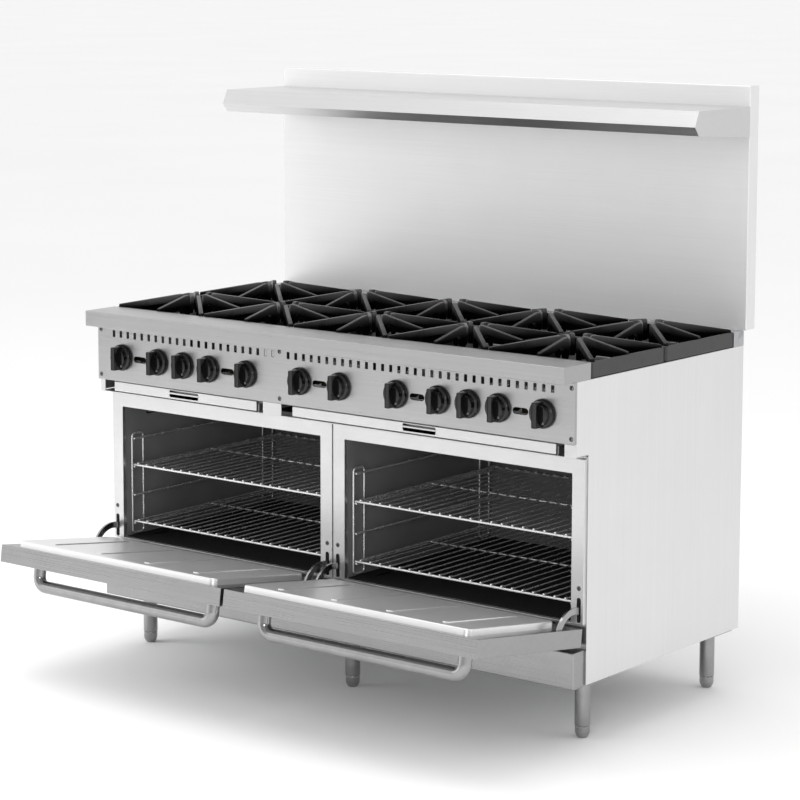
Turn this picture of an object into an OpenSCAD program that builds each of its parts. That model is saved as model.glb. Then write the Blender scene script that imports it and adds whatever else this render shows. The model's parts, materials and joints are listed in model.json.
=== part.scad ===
// Restaurant gas range: ten open burners over two ovens, with a backguard and a high shelf.
// Drawn with X to the right, Y to the rear and Z up. The floor is Z = 0.
// Inside this file, Y = 0 is the front edge of the lower side panels, and placed() moves
// the whole range so that its outline at rest, with both doors open, is centred on X and Y.

/* [Overall] */
// Width over the side panels
range_w = 1524; // [1500:4:1540]
// Depth of the side panels
body_d = 684; // [680:1:720]
// Height of the body above the floor, which is the free length of the legs
leg_h = 152; // [140:1:165]
// Height of the deck that carries the grates
deck_z = 876; // [876:1:880]
// Height of the top of the backguard
backguard_top = 1524; // [1400:1:1600]
// Front-to-back size of the backguard
backguard_d = 41; // [36:1:60]

/* [Cooktop] */
// Height of the front ledge and of the grate frames
ledge_h = 40; // [38:1:42]
// Height of the grate fins above the grate frame, at their inner ends
fin_rise = 30; // [15:1:34]
// Thickness of the cast grate ribs
rib_t = 9; // [7:0.5:11]
// Radius of a burner head
burner_r = 46; // [36:1:50]

/* [Controls] */
// Height of the knob centres
knob_z = 795; // [792:1:798]
// Radius of a knob's skirt
knob_r = 35; // [26:1:36]
// Distance of each burner knob from the middle of its column
knob_offset = 63.5; // [60:0.5:66]
// Turn of a burner knob from off to full on, in degrees
burner_turn = 90; // [80:1:180]

/* [Doors] */
// How far the doors are drawn open, in degrees: 0 is closed, and the stop is at 81.8
door_open = 81.8; // [0:0.1:81.8]
// Thickness of a door
door_t = 44; // [40:1:44]
// Width of a door
door_w = 752; // [740:1:752]
// Distance from the hinge pin down to the bottom edge of a door
door_below_pin = 20; // [18:1:20]
// Distance from the hinge pin up to the top edge of a door
door_above_pin = 395; // [390:1:400]
// Radius of the handle tube
handle_r = 16; // [12:0.5:16]
// Distance from the door skin to the middle of the handle tube
handle_standoff = 54; // [48:1:60]
// Length of the handle between the middles of its two ends
handle_len = 597; // [500:1:600]

/* [Ovens] */
// Inner width of an oven
oven_w = 684; // [680:1:686]
// Inner depth of an oven
oven_d = 606; // [600:1:606]
// Height of the oven floor above the ground
oven_floor_z = 299; // [299:1:301]
// Height of the oven ceiling above the ground
oven_top_z = 653; // [650:1:655]
// Height between two rungs of a rack guide
rung_pitch = 76.5; // [74:0.5:78]

/* [Hidden] */

steel = "gainsboro";
dark_steel = "dimgray";
black_iron = "#2b2b2b";
chrome = "silver";
pipe_colour = "darkgray";
brass = "goldenrod";

half_w = range_w / 2;
sheet = 2;                              // thickness of the casing sheet
column = range_w / 5;                   // width of one burner column
in_w = half_w - sheet;                  // inner face of the side panels

// Front to back
panel_y = -59.5;                        // front face of the control panel
band_y = -50;                           // front face of the recessed band at the crumb trays
ledge_front_y = -104;
ledge_back_y = 5;
grate_front_y = 8;
flue_y = body_d - 47;                   // front face of the flue box behind the grates
grate_len = (flue_y - grate_front_y - 4) / 2;
burner_front_y = grate_front_y + grate_len / 2;
burner_rear_y = flue_y - grate_len / 2;
backguard_y = body_d + 10;
rear_y = backguard_y + backguard_d;

// Bottom to top
panel_bottom_z = 730;
band_bottom_z = 700;
ledge_top_z = deck_z + ledge_h;
grate_top_z = ledge_top_z + fin_rise;
flue_top_z = ledge_top_z - 2;

// Door geometry, from the hinge pin
pin_y = -33;
pin_z = 269;
pin_r = 4;
pin_clear = 0.05;                       // radial clearance of the hinge pins and the stems
liner_proud = 16;                       // how far the door liner stands into the oven
skin_dy = -door_t / 2;                  // outer skin, from the pin
inner_dy = door_t / 2;                  // inner face, from the pin
door_mid_x = half_w / 2;
handle_dz = door_above_pin - 68;        // handle centre, up from the pin
lug_x = door_w / 2 - 90;                // hinge lugs, from the middle of the door
arm_x = 364;                            // curved arms, from the middle of the door

// Outline at rest, which the origin is centred on
door_reach = door_above_pin * sin(door_open) - skin_dy * cos(door_open);
front_y = min(pin_y - door_reach, ledge_front_y);
mid_y = (front_y + rear_y) / 2;

// Controls: burner columns, and the knob places from left to right
burner_knobs = [for (c = [-2:2], s = [-1, 1]) column * c + s * knob_offset];
thermostat_x = 1.5 * column;
stem_r = 4;
manifold_r = 13.35;                     // outside of a 3/4 inch gas pipe
manifold_y = -22;
manifold_z = knob_z - 30;
inlet_x = half_w - 62;
inlet_nut_y = body_d + 8;               // hexagon nut of the gas inlet, behind the body
inlet_end_y = body_d + 46;

// Crumb trays: the openings in the band, and the trays in them
tray_openings = [[-746, -194], [-133, 728]];
tray_spans = [[-713, -216], [-97, 704]];
tray_z = 701;
tray_h = 26;
tray_back_y = 600;

// Racks
rack_len = 574;
rack_front_y = 18;
rail_r = 3;
wire_r = 2;
wire_pitch = 31;
rung_r = 2.5;
rung_0_z = 335;                         // lowest rung of a guide
guide_x = oven_w / 2 - 16;              // rungs, from the middle of the oven

// ---------------------------------------------------------------- helpers

// Moves a module from the drawing's frame to the part's frame.
module placed() translate([0, -mid_y, 0]) children();

// Box from its lowest corner to its highest corner.
module box(lo, hi) translate(lo) cube(hi - lo);

// Straight rod between two points.
module rod(a, b, r) {
    d = b - a;
    tilt = acos(d.z / norm(d));
    translate(a) rotate([0, tilt, atan2(d.y, d.x)]) cylinder(h = norm(d), r = r, $fn = 48);
}

// Bent tube through points that are joined by square corners, with bends of twice the tube's radius.
module pipe_run(points, r) {
    bend = 2 * r;
    last = len(points) - 1;
    for (i = [1:last]) {
        a = points[i - 1];
        b = points[i];
        dir = (b - a) / norm(b - a);
        rod(a + (i > 1 ? bend : 0) * dir, b - (i < last ? bend : 0) * dir, r);
        if (i < last) {
            next = (points[i + 1] - b) / norm(points[i + 1] - b);
            turn_axis = cross(dir, next);
            centre = b + bend * (next - dir);
            multmatrix([
                [-next.x, dir.x, turn_axis.x, centre.x], [-next.y, dir.y, turn_axis.y, centre.y],
                [-next.z, dir.z, turn_axis.z, centre.z], [0, 0, 0, 1]
            ]) rotate_extrude(angle = 90, $fn = 96) translate([bend, 0]) circle(r, $fn = 48);
        }
    }
}

// Extrudes an outline drawn in Y and Z along X, from x0 to x1.
module along_x(x0, x1)
    translate([x0, 0, 0]) rotate([90, 0, 90]) linear_extrude(x1 - x0) children();

// Extrudes an outline drawn in X and Z along Y, from y0 to y1.
module along_y(y0, y1)
    translate([0, y1, 0]) rotate([90, 0, 0]) linear_extrude(y1 - y0) children();

// Rectangle with rounded corners, from corner to corner.
module round_rect(lo, hi, r) {
    translate([lo.x + r, lo.y]) square([hi.x - lo.x - 2 * r, hi.y - lo.y]);
    translate([lo.x, lo.y + r]) square([hi.x - lo.x, hi.y - lo.y - 2 * r]);
    for (x = [lo.x + r, hi.x - r], y = [lo.y + r, hi.y - r])
        translate([x, y]) circle(r, $fn = 48);
}

// Both ovens, both doors and so on: mirrored copies about X = 0.
module both_sides() {
    children();
    mirror([1, 0, 0]) children();
}

// ---------------------------------------------------------------- casing

// Right side panel: a sheet with a forward lobe at the control box and a top flange.
module side_panel() color(steel) {
    along_x(in_w, half_w) polygon([
        [0, leg_h], [body_d, leg_h], [body_d, deck_z], [band_y, deck_z],
        [band_y, band_bottom_z], [0, band_bottom_z]
    ]);
    box([in_w - 20, band_y + 2, deck_z - sheet], [in_w, flue_y, deck_z]);
}

module side_panel_right() placed() side_panel();
module side_panel_left() placed() mirror([1, 0, 0]) side_panel();

// Rear sheet that folds forward above the deck into the flue box behind the grates.
module back_panel() color(steel) placed() {
    difference() {
        box([-in_w, body_d - sheet, leg_h + sheet], [in_w, body_d, deck_z]);
        translate([inlet_x, body_d, manifold_z]) rotate([90, 0, 0])
            cylinder(h = 10, r = manifold_r + 3, center = true, $fn = 48);
        // Cooling slots behind each oven
        for (x = [-door_mid_x, door_mid_x], i = [0:4])
            translate([x, body_d, 560 + 16 * i]) cube([180, 10, 7], center = true);
    }
    flue_box();
}

// Flue box: front wall, slotted top, rear wall and two end caps.
module flue_box() {
    slot_pitch = 40;
    slots = floor((range_w - 120) / slot_pitch);
    box([-half_w, flue_y, deck_z], [half_w, flue_y + sheet, flue_top_z]);
    box([-half_w, body_d - sheet, deck_z], [half_w, body_d, flue_top_z]);
    for (x = [-half_w, half_w - sheet])
        box([x, flue_y + sheet, deck_z], [x + sheet, body_d - sheet, flue_top_z]);
    difference() {
        box([-in_w, flue_y + sheet, flue_top_z - sheet], [in_w, body_d - sheet, flue_top_z]);
        for (i = [0:slots])
            translate([(i - slots / 2) * slot_pitch, (flue_y + body_d) / 2, flue_top_z])
                cube([24, 8, 10], center = true);
    }
}

// Bottom pan with a low flange on all four sides.
module base_pan() color(steel) placed() {
    flange_h = 22;
    box([-in_w, 0, leg_h], [in_w, body_d - sheet, leg_h + sheet]);
    box([-in_w, 0, leg_h + sheet], [in_w, sheet, 234]);
    for (x = [-in_w, in_w - sheet])
        box([x, sheet, leg_h + sheet], [x + sheet, body_d - 2 * sheet, leg_h + flange_h]);
    box([-in_w, body_d - 2 * sheet, leg_h + sheet], [in_w, body_d - sheet, leg_h + flange_h]);
}

// Folded kick panel below the doors.
module kick_panel() color(steel) placed() {
    kick_w = half_w - 5;
    kick_front = -45;
    kick_lo = leg_h - 5;
    kick_hi = 236;
    box([-kick_w, kick_front, kick_lo], [kick_w, kick_front + sheet, kick_hi]);
    box([-kick_w, kick_front + sheet, kick_hi - sheet], [kick_w, 0, kick_hi]);
    box([-kick_w, kick_front + sheet, kick_lo], [kick_w, -5, kick_lo + sheet]);
    for (x = [-kick_w, kick_w - sheet])
        box([x, kick_front + sheet, kick_lo + sheet], [x + sheet, 0, kick_hi - sheet]);
}

// Pair of oven fronts: a sheet behind, and a raised frame round each oven mouth.
module oven_front_frame() color(steel) placed() {
    frame_lo = 296;
    frame_hi = 690;
    hem = 1.5;
    difference() {
        box([-in_w, 0, 236], [in_w, sheet, band_bottom_z - 3]);
        both_sides() {
            oven_mouth();
            hinge_slots();
            for (s = [-1, 1])
                box([door_mid_x + s * lug_x - 5, -20, 250], [door_mid_x + s * lug_x + 5, 20, 290]);
        }
    }
    both_sides() difference() {
        box([1.5, frame_y, frame_lo], [half_w - 3, 0, frame_hi]);
        oven_mouth();
        hinge_slots();
        // Hollow behind the raised face, on the two uprights and the header
        for (x = [[1.5 + hem, door_mid_x - oven_w / 2 - hem],
                  [door_mid_x + oven_w / 2 + hem, half_w - 3 - hem]])
            box([x[0], frame_y + hem, frame_lo + hem], [x[1], 1, frame_hi - hem]);
        box([10, frame_y + hem, oven_top_z + hem], [half_w - 10, 1, frame_hi - hem]);
    }
}

module oven_mouth() box(
    [door_mid_x - oven_w / 2, -20, oven_floor_z], [door_mid_x + oven_w / 2, 20, oven_top_z]);

// Upright slots beside each oven mouth for the door's curved arms, and a screw hole above each.
module hinge_slots() for (x = [door_mid_x - arm_x, door_mid_x + arm_x]) {
    box([x - 5.5, -20, 300], [x + 5.5, 20, 360]);
    rod([x, -12, frame_screw_z], [x, -5, frame_screw_z], 2.5);
}

frame_y = -10;                          // front face of the raised oven frames
frame_screw_z = 383;

// ---------------------------------------------------------------- control box

// Folded control panel with vents, knob holes, pilot slots and screw holes.
module control_panel() color(steel) placed() {
    along_y(panel_y, panel_y + sheet) difference() {
        translate([-half_w, panel_bottom_z]) square([range_w, deck_z - panel_bottom_z]);
        for (i = [0:56])
            if (i != 23) translate([vent_x(i), deck_z - 20.5]) square([7, 16.5], center = true);
        for (x = concat(burner_knobs, [-thermostat_x, thermostat_x]))
            translate([x, knob_z]) circle(stem_r + 3, $fn = 48);
        for (c = [-2:2]) translate([c * column, knob_z - 1]) pilot_slot();
        for (p = panel_screw_points) translate(p) circle(2.5, $fn = 24);
    }
    box([-half_w, panel_y + sheet, deck_z - sheet], [half_w, band_y, deck_z]);
    box([-half_w, panel_y + sheet, panel_bottom_z], [half_w, band_y, panel_bottom_z + sheet]);
    box([-in_w, band_y, panel_bottom_z], [in_w, band_y + 2, panel_bottom_z + sheet]);
    for (x = [-half_w, in_w])
        box([x, panel_y + sheet, panel_bottom_z + sheet], [x + sheet, band_y, deck_z - sheet]);
}

// Middle of vent number i, on an even pitch across the panel.
function vent_x(i) = (i - 28.05) * 25.05;

panel_screw_points = [for (x = [-750, -130, 753], z = [863, 744]) [x, z]];

module pilot_slot() round_rect([-22, -8], [22, 8], 7);

// Folded landing ledge in front of the grates, closed at its ends.
module front_ledge() color(steel) placed() {
    skin = 1.5;
    difference() {
        box([-half_w, ledge_front_y, deck_z], [half_w, ledge_back_y, ledge_top_z]);
        box([-half_w + skin, ledge_front_y + skin, deck_z + skin],
            [half_w - skin, ledge_back_y + 1, ledge_top_z - skin]);
    }
}

// Screws that hold the control panel and the oven fronts.
module panel_screws() color(chrome) placed() {
    for (p = panel_screw_points) screw([p.x, panel_y, p.y], 2);
    // Low heads beside the oven mouths, because the closed door stands 1 mm in front of them
    both_sides() for (s = [-1, 1]) screw([door_mid_x + s * arm_x, frame_y, frame_screw_z], 0.7);
}

// Screw: a shank behind the face and a tapered head in front of it.
module screw(face, head) translate(face) rotate([90, 0, 0]) {
    translate([0, 0, -6]) cylinder(h = 6, r = 2, $fn = 24);
    cylinder(h = head, r1 = 5, r2 = 5 - head * 0.75, $fn = 24);
}

// ---------------------------------------------------------------- burner box and gas train

// Rails under the grates, the band at the crumb trays, and the runners that carry them.
module burner_box() color(steel) placed() {
    rail_w = in_w - 20;
    burner_rail(rail_w, grate_front_y, grate_front_y + 22);
    burner_rail(rail_w, burner_split_y - 15, burner_split_y + 15);
    burner_rail(rail_w, flue_y - 22, flue_y);
    // Band at the trays: a floor strip and the posts between the openings
    box([-in_w, band_y, 697], [in_w, sheet, 699]);
    for (x = [[-in_w, tray_openings[0][0]], [tray_openings[0][1], tray_openings[1][0]],
              [tray_openings[1][1], in_w]])
        box([x[0], band_y, 699], [x[1], band_y + 2, panel_bottom_z]);
    for (t = tray_spans, e = [0, 1]) {
        edge = t[e];
        outer = edge + (e == 0 ? -2 : 2);
        inner = edge + (e == 0 ? 14 : -14);
        box([min(outer, inner), sheet, 697], [max(outer, inner), body_d - sheet, 699]);
    }
}

burner_split_y = (burner_front_y + burner_rear_y) / 2;

// Angle rail across the cooktop.
module burner_rail(w, y0, y1) {
    box([-w, y0, deck_z - sheet], [w, y1, deck_z]);
    box([-w, y1 - sheet, deck_z - 10], [w, y1, deck_z - sheet]);
}

// Ten cast burners, each a riser and port ring on a venturi tube that starts at its valve.
module top_burners() color(black_iron) placed() for (c = [-2:2]) {
    burner([column * c + knob_offset, ledge_back_y + 3], [column * c, burner_front_y]);
    burner([column * c - knob_offset, ledge_back_y + 3], [column * c, burner_rear_y]);
}

module burner(mouth, head) {
    tube_r = 12;
    head_z = deck_z - 32;
    difference() {
        union() {
            rod([mouth.x, mouth.y, knob_z], [head.x, head.y, knob_z], tube_r);
            rod([mouth.x, mouth.y, knob_z], [mouth.x, mouth.y + 12, knob_z], tube_r + 5);
            translate([head.x, head.y, knob_z - tube_r - 2])
                cylinder(h = head_z - knob_z + tube_r + 2, r1 = tube_r + 4, r2 = burner_r - 6,
                         $fn = 96);
            translate([head.x, head.y, head_z]) cylinder(h = 16, r = burner_r, $fn = 96);
            translate([head.x, head.y, head_z + 16])
                cylinder(h = 10, r1 = burner_r - 4, r2 = 22, $fn = 96);
        }
        translate([head.x, head.y, head_z + 6]) cylinder(h = 30, r = 13, $fn = 48);
        translate([mouth.x, mouth.y - 1, knob_z]) rotate([-90, 0, 0])
            cylinder(h = 9, r = 9, $fn = 48);
    }
}

// Gas manifold across the front, which turns back along the right side to the rear inlet.
module gas_manifold() color(pipe_colour) placed() {
    left_end = -half_w + 60;
    cap_r = manifold_r + 3;
    difference() {
        union() {
            rod([left_end, manifold_y, manifold_z], [inlet_x, manifold_y, manifold_z], manifold_r);
            rod([inlet_x, manifold_y, manifold_z], [inlet_x, inlet_nut_y + 4, manifold_z], manifold_r);
            translate([inlet_x, inlet_nut_y, manifold_z]) rotate([-90, 0, 0])
                cylinder(h = 10, r = 20, $fn = 6);
            rod([inlet_x, inlet_nut_y + 10, manifold_z], [inlet_x, inlet_end_y, manifold_z], manifold_r);
            translate([inlet_x, manifold_y, manifold_z]) sphere(r = manifold_r + 7, $fn = 64);
            rod([left_end - 14, manifold_y, manifold_z], [left_end, manifold_y, manifold_z], cap_r);
            for (x = concat(burner_knobs, [-thermostat_x, thermostat_x]))
                translate([x, manifold_y, manifold_z])
                    cylinder(h = knob_z - 12 - manifold_z, r = 9, $fn = 48);
            for (c = [-2:2])
                translate([c * column, manifold_y, manifold_z])
                    cylinder(h = knob_z - 8 - manifold_z, r = 5, $fn = 48);
        }
        rod([inlet_x, body_d, manifold_z], [inlet_x, inlet_end_y + 1, manifold_z], manifold_r - 3);
    }
}

// Burner valves on the manifold, and the five pilot valves with their tubes.
module gas_valves() color(brass) placed() {
    for (x = burner_knobs) difference() {
        union() {
            box([x - 11, -46, knob_z - 12], [x + 11, -10, knob_z + 12]);
            rod([x, -56, knob_z], [x, -46, knob_z], 9);
            rod([x, -10, knob_z], [x, 2, knob_z], 6);
        }
        valve_bore(x);
    }
    for (c = [-2:2]) {
        x = c * column;
        box([x - 7, -44, knob_z - 8], [x + 7, -14, knob_z + 8]);
        pipe_run([[x, -14, knob_z], [x, -2, knob_z], [x, -2, knob_z - 23],
                  [x, burner_split_y, knob_z - 23], [x, burner_split_y, deck_z - 13]], 3);
    }
}

// Blind hole that a knob stem turns in.
module valve_bore(x) rod([x, -57, knob_z], [x, -29, knob_z], stem_r + pin_clear);

// Two oven thermostats, each with its gas tube, capillary and sensing bulb.
module oven_thermostats() color(brass) placed() both_sides() {
    difference() {
        box([thermostat_x - 20, -46, knob_z - 12], [thermostat_x + 20, -10, knob_z + 28]);
        valve_bore(thermostat_x);
    }
    rod([thermostat_x - 12, -56, knob_z + 18], [thermostat_x - 12, -46, knob_z + 18], 5);
    // Gas tube to the oven burner, down the space between the oven and the side panel
    tube_x = thermostat_x;
    side_x = half_w - 17;
    tube_z = panel_bottom_z + 11;
    tube_y = 60;
    pipe_run([[tube_x, -10, knob_z], [tube_x, 0, knob_z], [tube_x, 0, tube_z], [side_x, 0, tube_z],
              [side_x, tube_y, tube_z], [side_x, tube_y, oven_burner_z],
              [door_mid_x, tube_y, oven_burner_z], [door_mid_x, 76, oven_burner_z]], 4);
    // Capillary, which drops past the crumb tray and enters the oven through its ceiling
    drop_x = tray_spans[1][1] + 14;
    bulb_x = door_mid_x + oven_w / 2 - 22;
    bulb_z = oven_top_z - 25;
    pipe_run([[tube_x + 14, -10, knob_z + 18], [tube_x + 14, 5, knob_z + 18], [drop_x, 5, knob_z + 18],
              [drop_x, tube_y, knob_z + 18], [drop_x, tube_y, 690], [bulb_x, tube_y, 690],
              [bulb_x, tube_y, bulb_z], [bulb_x, 180, bulb_z]], 1.5);
    rod([bulb_x, 180, bulb_z], [bulb_x, 360, bulb_z], 5);
}

// ---------------------------------------------------------------- ovens

oven_burner_z = 225;

// Oven boxes: side walls down to the base pan, a rear wall and a ceiling, open at the front.
module oven_liners() color(dark_steel) placed() both_sides() oven_liner();

module oven_liner() {
    wall = 2;
    x0 = door_mid_x - oven_w / 2;
    x1 = door_mid_x + oven_w / 2;
    difference() {
        union() {
            for (x = [x0 - wall, x1])
                box([x, sheet, leg_h + sheet], [x + wall, oven_d, oven_top_z]);
            box([x0 - wall, sheet, oven_top_z], [x1 + wall, oven_d, oven_top_z + wall]);
            box([x0 - wall, oven_d, leg_h + sheet], [x1 + wall, oven_d + wall, oven_top_z + wall]);
            for (x = [x0, x1 - 14])
                box([x, sheet, oven_floor_z - 2], [x + 14, oven_d, oven_floor_z]);
        }
        // Passages for the gas tube and the thermostat capillary
        rod([x1 - 5, 60, oven_burner_z], [x1 + 5, 60, oven_burner_z], 5);
        translate([x1 - 22, 60, oven_top_z - 1]) cylinder(h = 5, r = 3, $fn = 24);
        // Flue slots at the rear of the ceiling
        for (i = [0:5])
            box([door_mid_x - 230 + 80 * i, oven_d - 40, oven_top_z - 1],
                [door_mid_x - 170 + 80 * i, oven_d - 20, oven_top_z + 3]);
    }
}

// Removable oven floors, with heat slots along both sides.
module oven_floor_plates() color(dark_steel) placed() both_sides() difference() {
    box([door_mid_x - oven_w / 2 + 1, 4, oven_floor_z],
        [door_mid_x + oven_w / 2 - 1, oven_d - 1, oven_floor_z + 2]);
    for (s = [-1, 1], i = [0:6])
        translate([door_mid_x + s * (oven_w / 2 - 45), 90 + 70 * i, oven_floor_z])
            cube([10, 50, 10], center = true);
}

// Tubular oven burners with a mixer mouth, on two saddles each.
module oven_burners() color(dark_steel) placed() both_sides() {
    difference() {
        union() {
            rod([door_mid_x, 110, oven_burner_z], [door_mid_x, 560, oven_burner_z], 19);
            translate([door_mid_x, 85, oven_burner_z]) rotate([-90, 0, 0])
                cylinder(h = 25, r1 = 26, r2 = 19, $fn = 64);
            for (y = [150, 500])
                box([door_mid_x - 24, y, leg_h + sheet], [door_mid_x + 24, y + 4, oven_burner_z]);
        }
        translate([door_mid_x, 84, oven_burner_z]) rotate([-90, 0, 0])
            cylinder(h = 30, r1 = 22, r2 = 14, $fn = 64);
    }
}

// Chrome wire guides: two uprights and four rungs on each side wall of each oven.
module rack_guides() color(chrome) placed() both_sides() for (s = [-1, 1]) {
    post_x = door_mid_x + s * (oven_w / 2 - 4);
    rung_x = door_mid_x + s * guide_x;
    y0 = 20;
    y1 = 590;
    post_top = rung_0_z + 3 * rung_pitch + 10;
    for (y = [y0, y1]) rod([post_x, y, oven_floor_z + 2], [post_x, y, post_top], 3);
    for (i = [0:3]) {
        z = rung_0_z + i * rung_pitch;
        rod([rung_x, y0 - 4, z], [rung_x, y1 + 4, z], rung_r);
        for (y = [y0, y1])
            box([min(post_x, rung_x), y - 1.5, z - 1.5], [max(post_x, rung_x), y + 1.5, z + 1.5]);
    }
}

// Wire rack: four rails, wires from front to back and a middle stay below them.
module rack(side, level) color(chrome) placed() {
    z = rung_0_z + level * rung_pitch + rung_r + rail_r + 0.3;
    x0 = side * door_mid_x - guide_x;
    x1 = side * door_mid_x + guide_x;
    y0 = rack_front_y;
    y1 = rack_front_y + rack_len;
    n = floor((x1 - x0 - 10) / wire_pitch);
    for (x = [x0, x1]) rod([x, y0, z], [x, y1, z], rail_r);
    for (y = [y0, y1]) rod([x0 - 2, y, z], [x1 + 2, y, z], rail_r + 0.1);
    rod([x0, (y0 + y1) / 2, z + wire_r], [x1, (y0 + y1) / 2, z + wire_r], rail_r - 0.5);
    for (i = [0:n]) {
        x = (x0 + x1) / 2 + (i - n / 2) * wire_pitch;
        rod([x, y0 - 3, z + rail_r], [x, y1 + 2, z + rail_r], wire_r);
    }
}

module rack_left_lower() rack(-1, 0);
module rack_left_upper() rack(-1, 2);
module rack_right_lower() rack(1, 0);
module rack_right_upper() rack(1, 2);

// ---------------------------------------------------------------- crumb trays

// Shallow tray with a taller front and a pull recess.
module crumb_tray(i) color(steel) placed() {
    x0 = tray_spans[i][0];
    x1 = tray_spans[i][1];
    wall = 1.5;
    mid = (x0 + x1) / 2;
    difference() {
        box([x0, -40, tray_z - 2 + 0.3], [x1, tray_back_y, tray_z + 18]);
        box([x0 + wall, -40 + wall, tray_z], [x1 - wall, tray_back_y - wall, tray_z + 19]);
    }
    difference() {
        box([x0, band_y, tray_z], [x1, -40, tray_z + tray_h]);
        box([x0 + wall, band_y + wall, tray_z + wall], [x1 - wall, -41.5, tray_z + tray_h + 1]);
        // Pull recess, with a curled lip left above it
        box([mid - 50, band_y - 1, tray_z + 7], [mid + 50, -41.5, tray_z + 20]);
    }
}

module crumb_tray_left() crumb_tray(0);
module crumb_tray_right() crumb_tray(1);

// ---------------------------------------------------------------- grates

// Cast grate for one burner: a frame, and eight fins that rise towards the burner.
module grate(col, row) color(black_iron) placed() {
    x0 = -half_w + col * column + 0.3;
    x1 = x0 + column - 0.6;
    y0 = row == 0 ? grate_front_y : flue_y - grate_len;
    y1 = y0 + grate_len - 0.6;
    mid = [(x0 + x1) / 2, (y0 + y1) / 2];
    frame_top = ledge_top_z - 0.5;
    difference() {
        box([x0, y0, deck_z], [x1, y1, frame_top]);
        box([x0 + rib_t, y0 + rib_t, deck_z - 1], [x1 - rib_t, y1 - rib_t, frame_top + 1]);
    }
    // Fins to the middles of the sides and to the corners, cut off at the frame's outline
    intersection() {
        box([x0 + 2, y0 + 2, deck_z], [x1 - 2, y1 - 2, grate_top_z]);
        for (k = [0:7]) translate(mid) rotate(45 * k)
            fin(k % 4 == 0 ? 18 : 34, k % 2 == 0 ? grate_len / 2 : grate_len * 0.71);
    }
}

// Fin along +X from its inner end at the radius a to the reach b. Its top falls from the inner end.
module fin(a, b) rotate([90, 0, 0]) translate([0, 0, -rib_t / 2]) linear_extrude(rib_t) polygon([
    [a, grate_top_z - 9], [a, ledge_top_z - 14], [a + 14, ledge_top_z - 26], [b, ledge_top_z - 12],
    [b, ledge_top_z + 4], [a + 12, grate_top_z], [a + 5, grate_top_z]
]);

module grate_front_1() grate(0, 0);
module grate_front_2() grate(1, 0);
module grate_front_3() grate(2, 0);
module grate_front_4() grate(3, 0);
module grate_front_5() grate(4, 0);
module grate_rear_1() grate(0, 1);
module grate_rear_2() grate(1, 1);
module grate_rear_3() grate(2, 1);
module grate_rear_4() grate(3, 1);
module grate_rear_5() grate(4, 1);

// ---------------------------------------------------------------- doors

// Places a door's parts, drawn closed about the hinge pin with X from the door's middle.
module door_place(side) placed()
    translate([side * door_mid_x, pin_y, pin_z]) rotate([door_open, 0, 0]) children();

// Outer pan of a door: skin, four edges and a border round the inner face.
module door_pan(side) color(steel) door_place(side) {
    skin = 2;
    side_border = 50;
    top_border = 28;
    hw = door_w / 2;
    difference() {
        box([-hw, skin_dy, -door_below_pin], [hw, inner_dy, door_above_pin]);
        box([-hw + skin, skin_dy + skin, -door_below_pin + skin],
            [hw - skin, inner_dy - skin, door_above_pin - skin]);
        box([-hw + side_border, inner_dy - 5, liner_lo + 10],
            [hw - side_border, inner_dy + 1, door_above_pin - top_border]);
        // Notches for the fixed hinge lugs, open at the inner face and at the bottom edge
        for (x = [-lug_x, lug_x])
            box([x - 7, -12, -door_below_pin - 1], [x + 7, inner_dy + 1, 20]);
    }
}

module door_left_pan() door_pan(-1);
module door_right_pan() door_pan(1);

// Liner outline, up from the pin
liner_lo = oven_floor_z + 7 - pin_z;
liner_hi = oven_top_z - 7 - pin_z;

// Pressed liner of a door, which stands into the oven mouth.
module door_liner(side) color(steel) door_place(side) {
    skin = 1.5;
    hw = oven_w / 2 - 5;
    corner = 16;
    difference() {
        along_y(inner_dy, inner_dy + liner_proud) round_rect([-hw, liner_lo], [hw, liner_hi], corner);
        along_y(inner_dy - 1, inner_dy + liner_proud - skin)
            round_rect([-hw + skin, liner_lo + skin], [hw - skin, liner_hi - skin], corner - skin);
    }
    // Pressed ribs
    for (x = [-245, -82, 82, 245])
        box([x - 9, inner_dy + liner_proud, liner_lo + 30],
            [x + 9, inner_dy + liner_proud + 2, liner_hi - 30]);
}

module door_left_liner() door_liner(-1);
module door_right_liner() door_liner(1);

// Bent tube handle across the upper part of a door.
module door_handle(side) color(chrome) door_place(side) translate([0, skin_dy, handle_dz]) {
    bend_r = 38;
    leg = handle_standoff - bend_r;
    half = handle_len / 2;
    both_sides() {
        translate([half, 0, 0]) rotate([90, 0, 0]) cylinder(h = leg, r = handle_r, $fn = 64);
        translate([half - bend_r, -leg, 0]) rotate([0, 0, -90])
            rotate_extrude(angle = 90, $fn = 96) translate([bend_r, 0]) circle(handle_r, $fn = 64);
    }
    translate([bend_r - half, -handle_standoff, 0]) rotate([0, 90, 0])
        cylinder(h = handle_len - 2 * bend_r, r = handle_r, $fn = 64);
}

module door_left_handle() door_handle(-1);
module door_right_handle() door_handle(1);

// Hinge parts that ride on a door: ears on the pins, and curved arms through the slots.
module door_hinge_arms(side) color(chrome) door_place(side) {
    arm_r = [56, 72];
    arm_t = 6;
    tail_angle = -27;
    for (x = [-lug_x, lug_x], e = [-1, 1]) difference() {
        box([x + e * 10 - 2.5, skin_dy + 2, 2 - door_below_pin], [x + e * 10 + 2.5, inner_dy - 2, 24]);
        rod([x + e * 10 - 5, 0, 0], [x + e * 10 + 5, 0, 0], pin_r + pin_clear);
    }
    for (x = [-arm_x, arm_x]) difference() {
        translate([x - arm_t / 2, 0, 0]) rotate([90, 0, 90]) rotate([0, 0, tail_angle])
            rotate_extrude(angle = 75 - tail_angle, $fn = 128)
                translate([arm_r[0], 0]) square([arm_r[1] - arm_r[0], arm_t]);
        box([x - arm_t, -arm_r[1], 0], [x + arm_t, inner_dy, arm_r[1] + 1]);
    }
}

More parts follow.
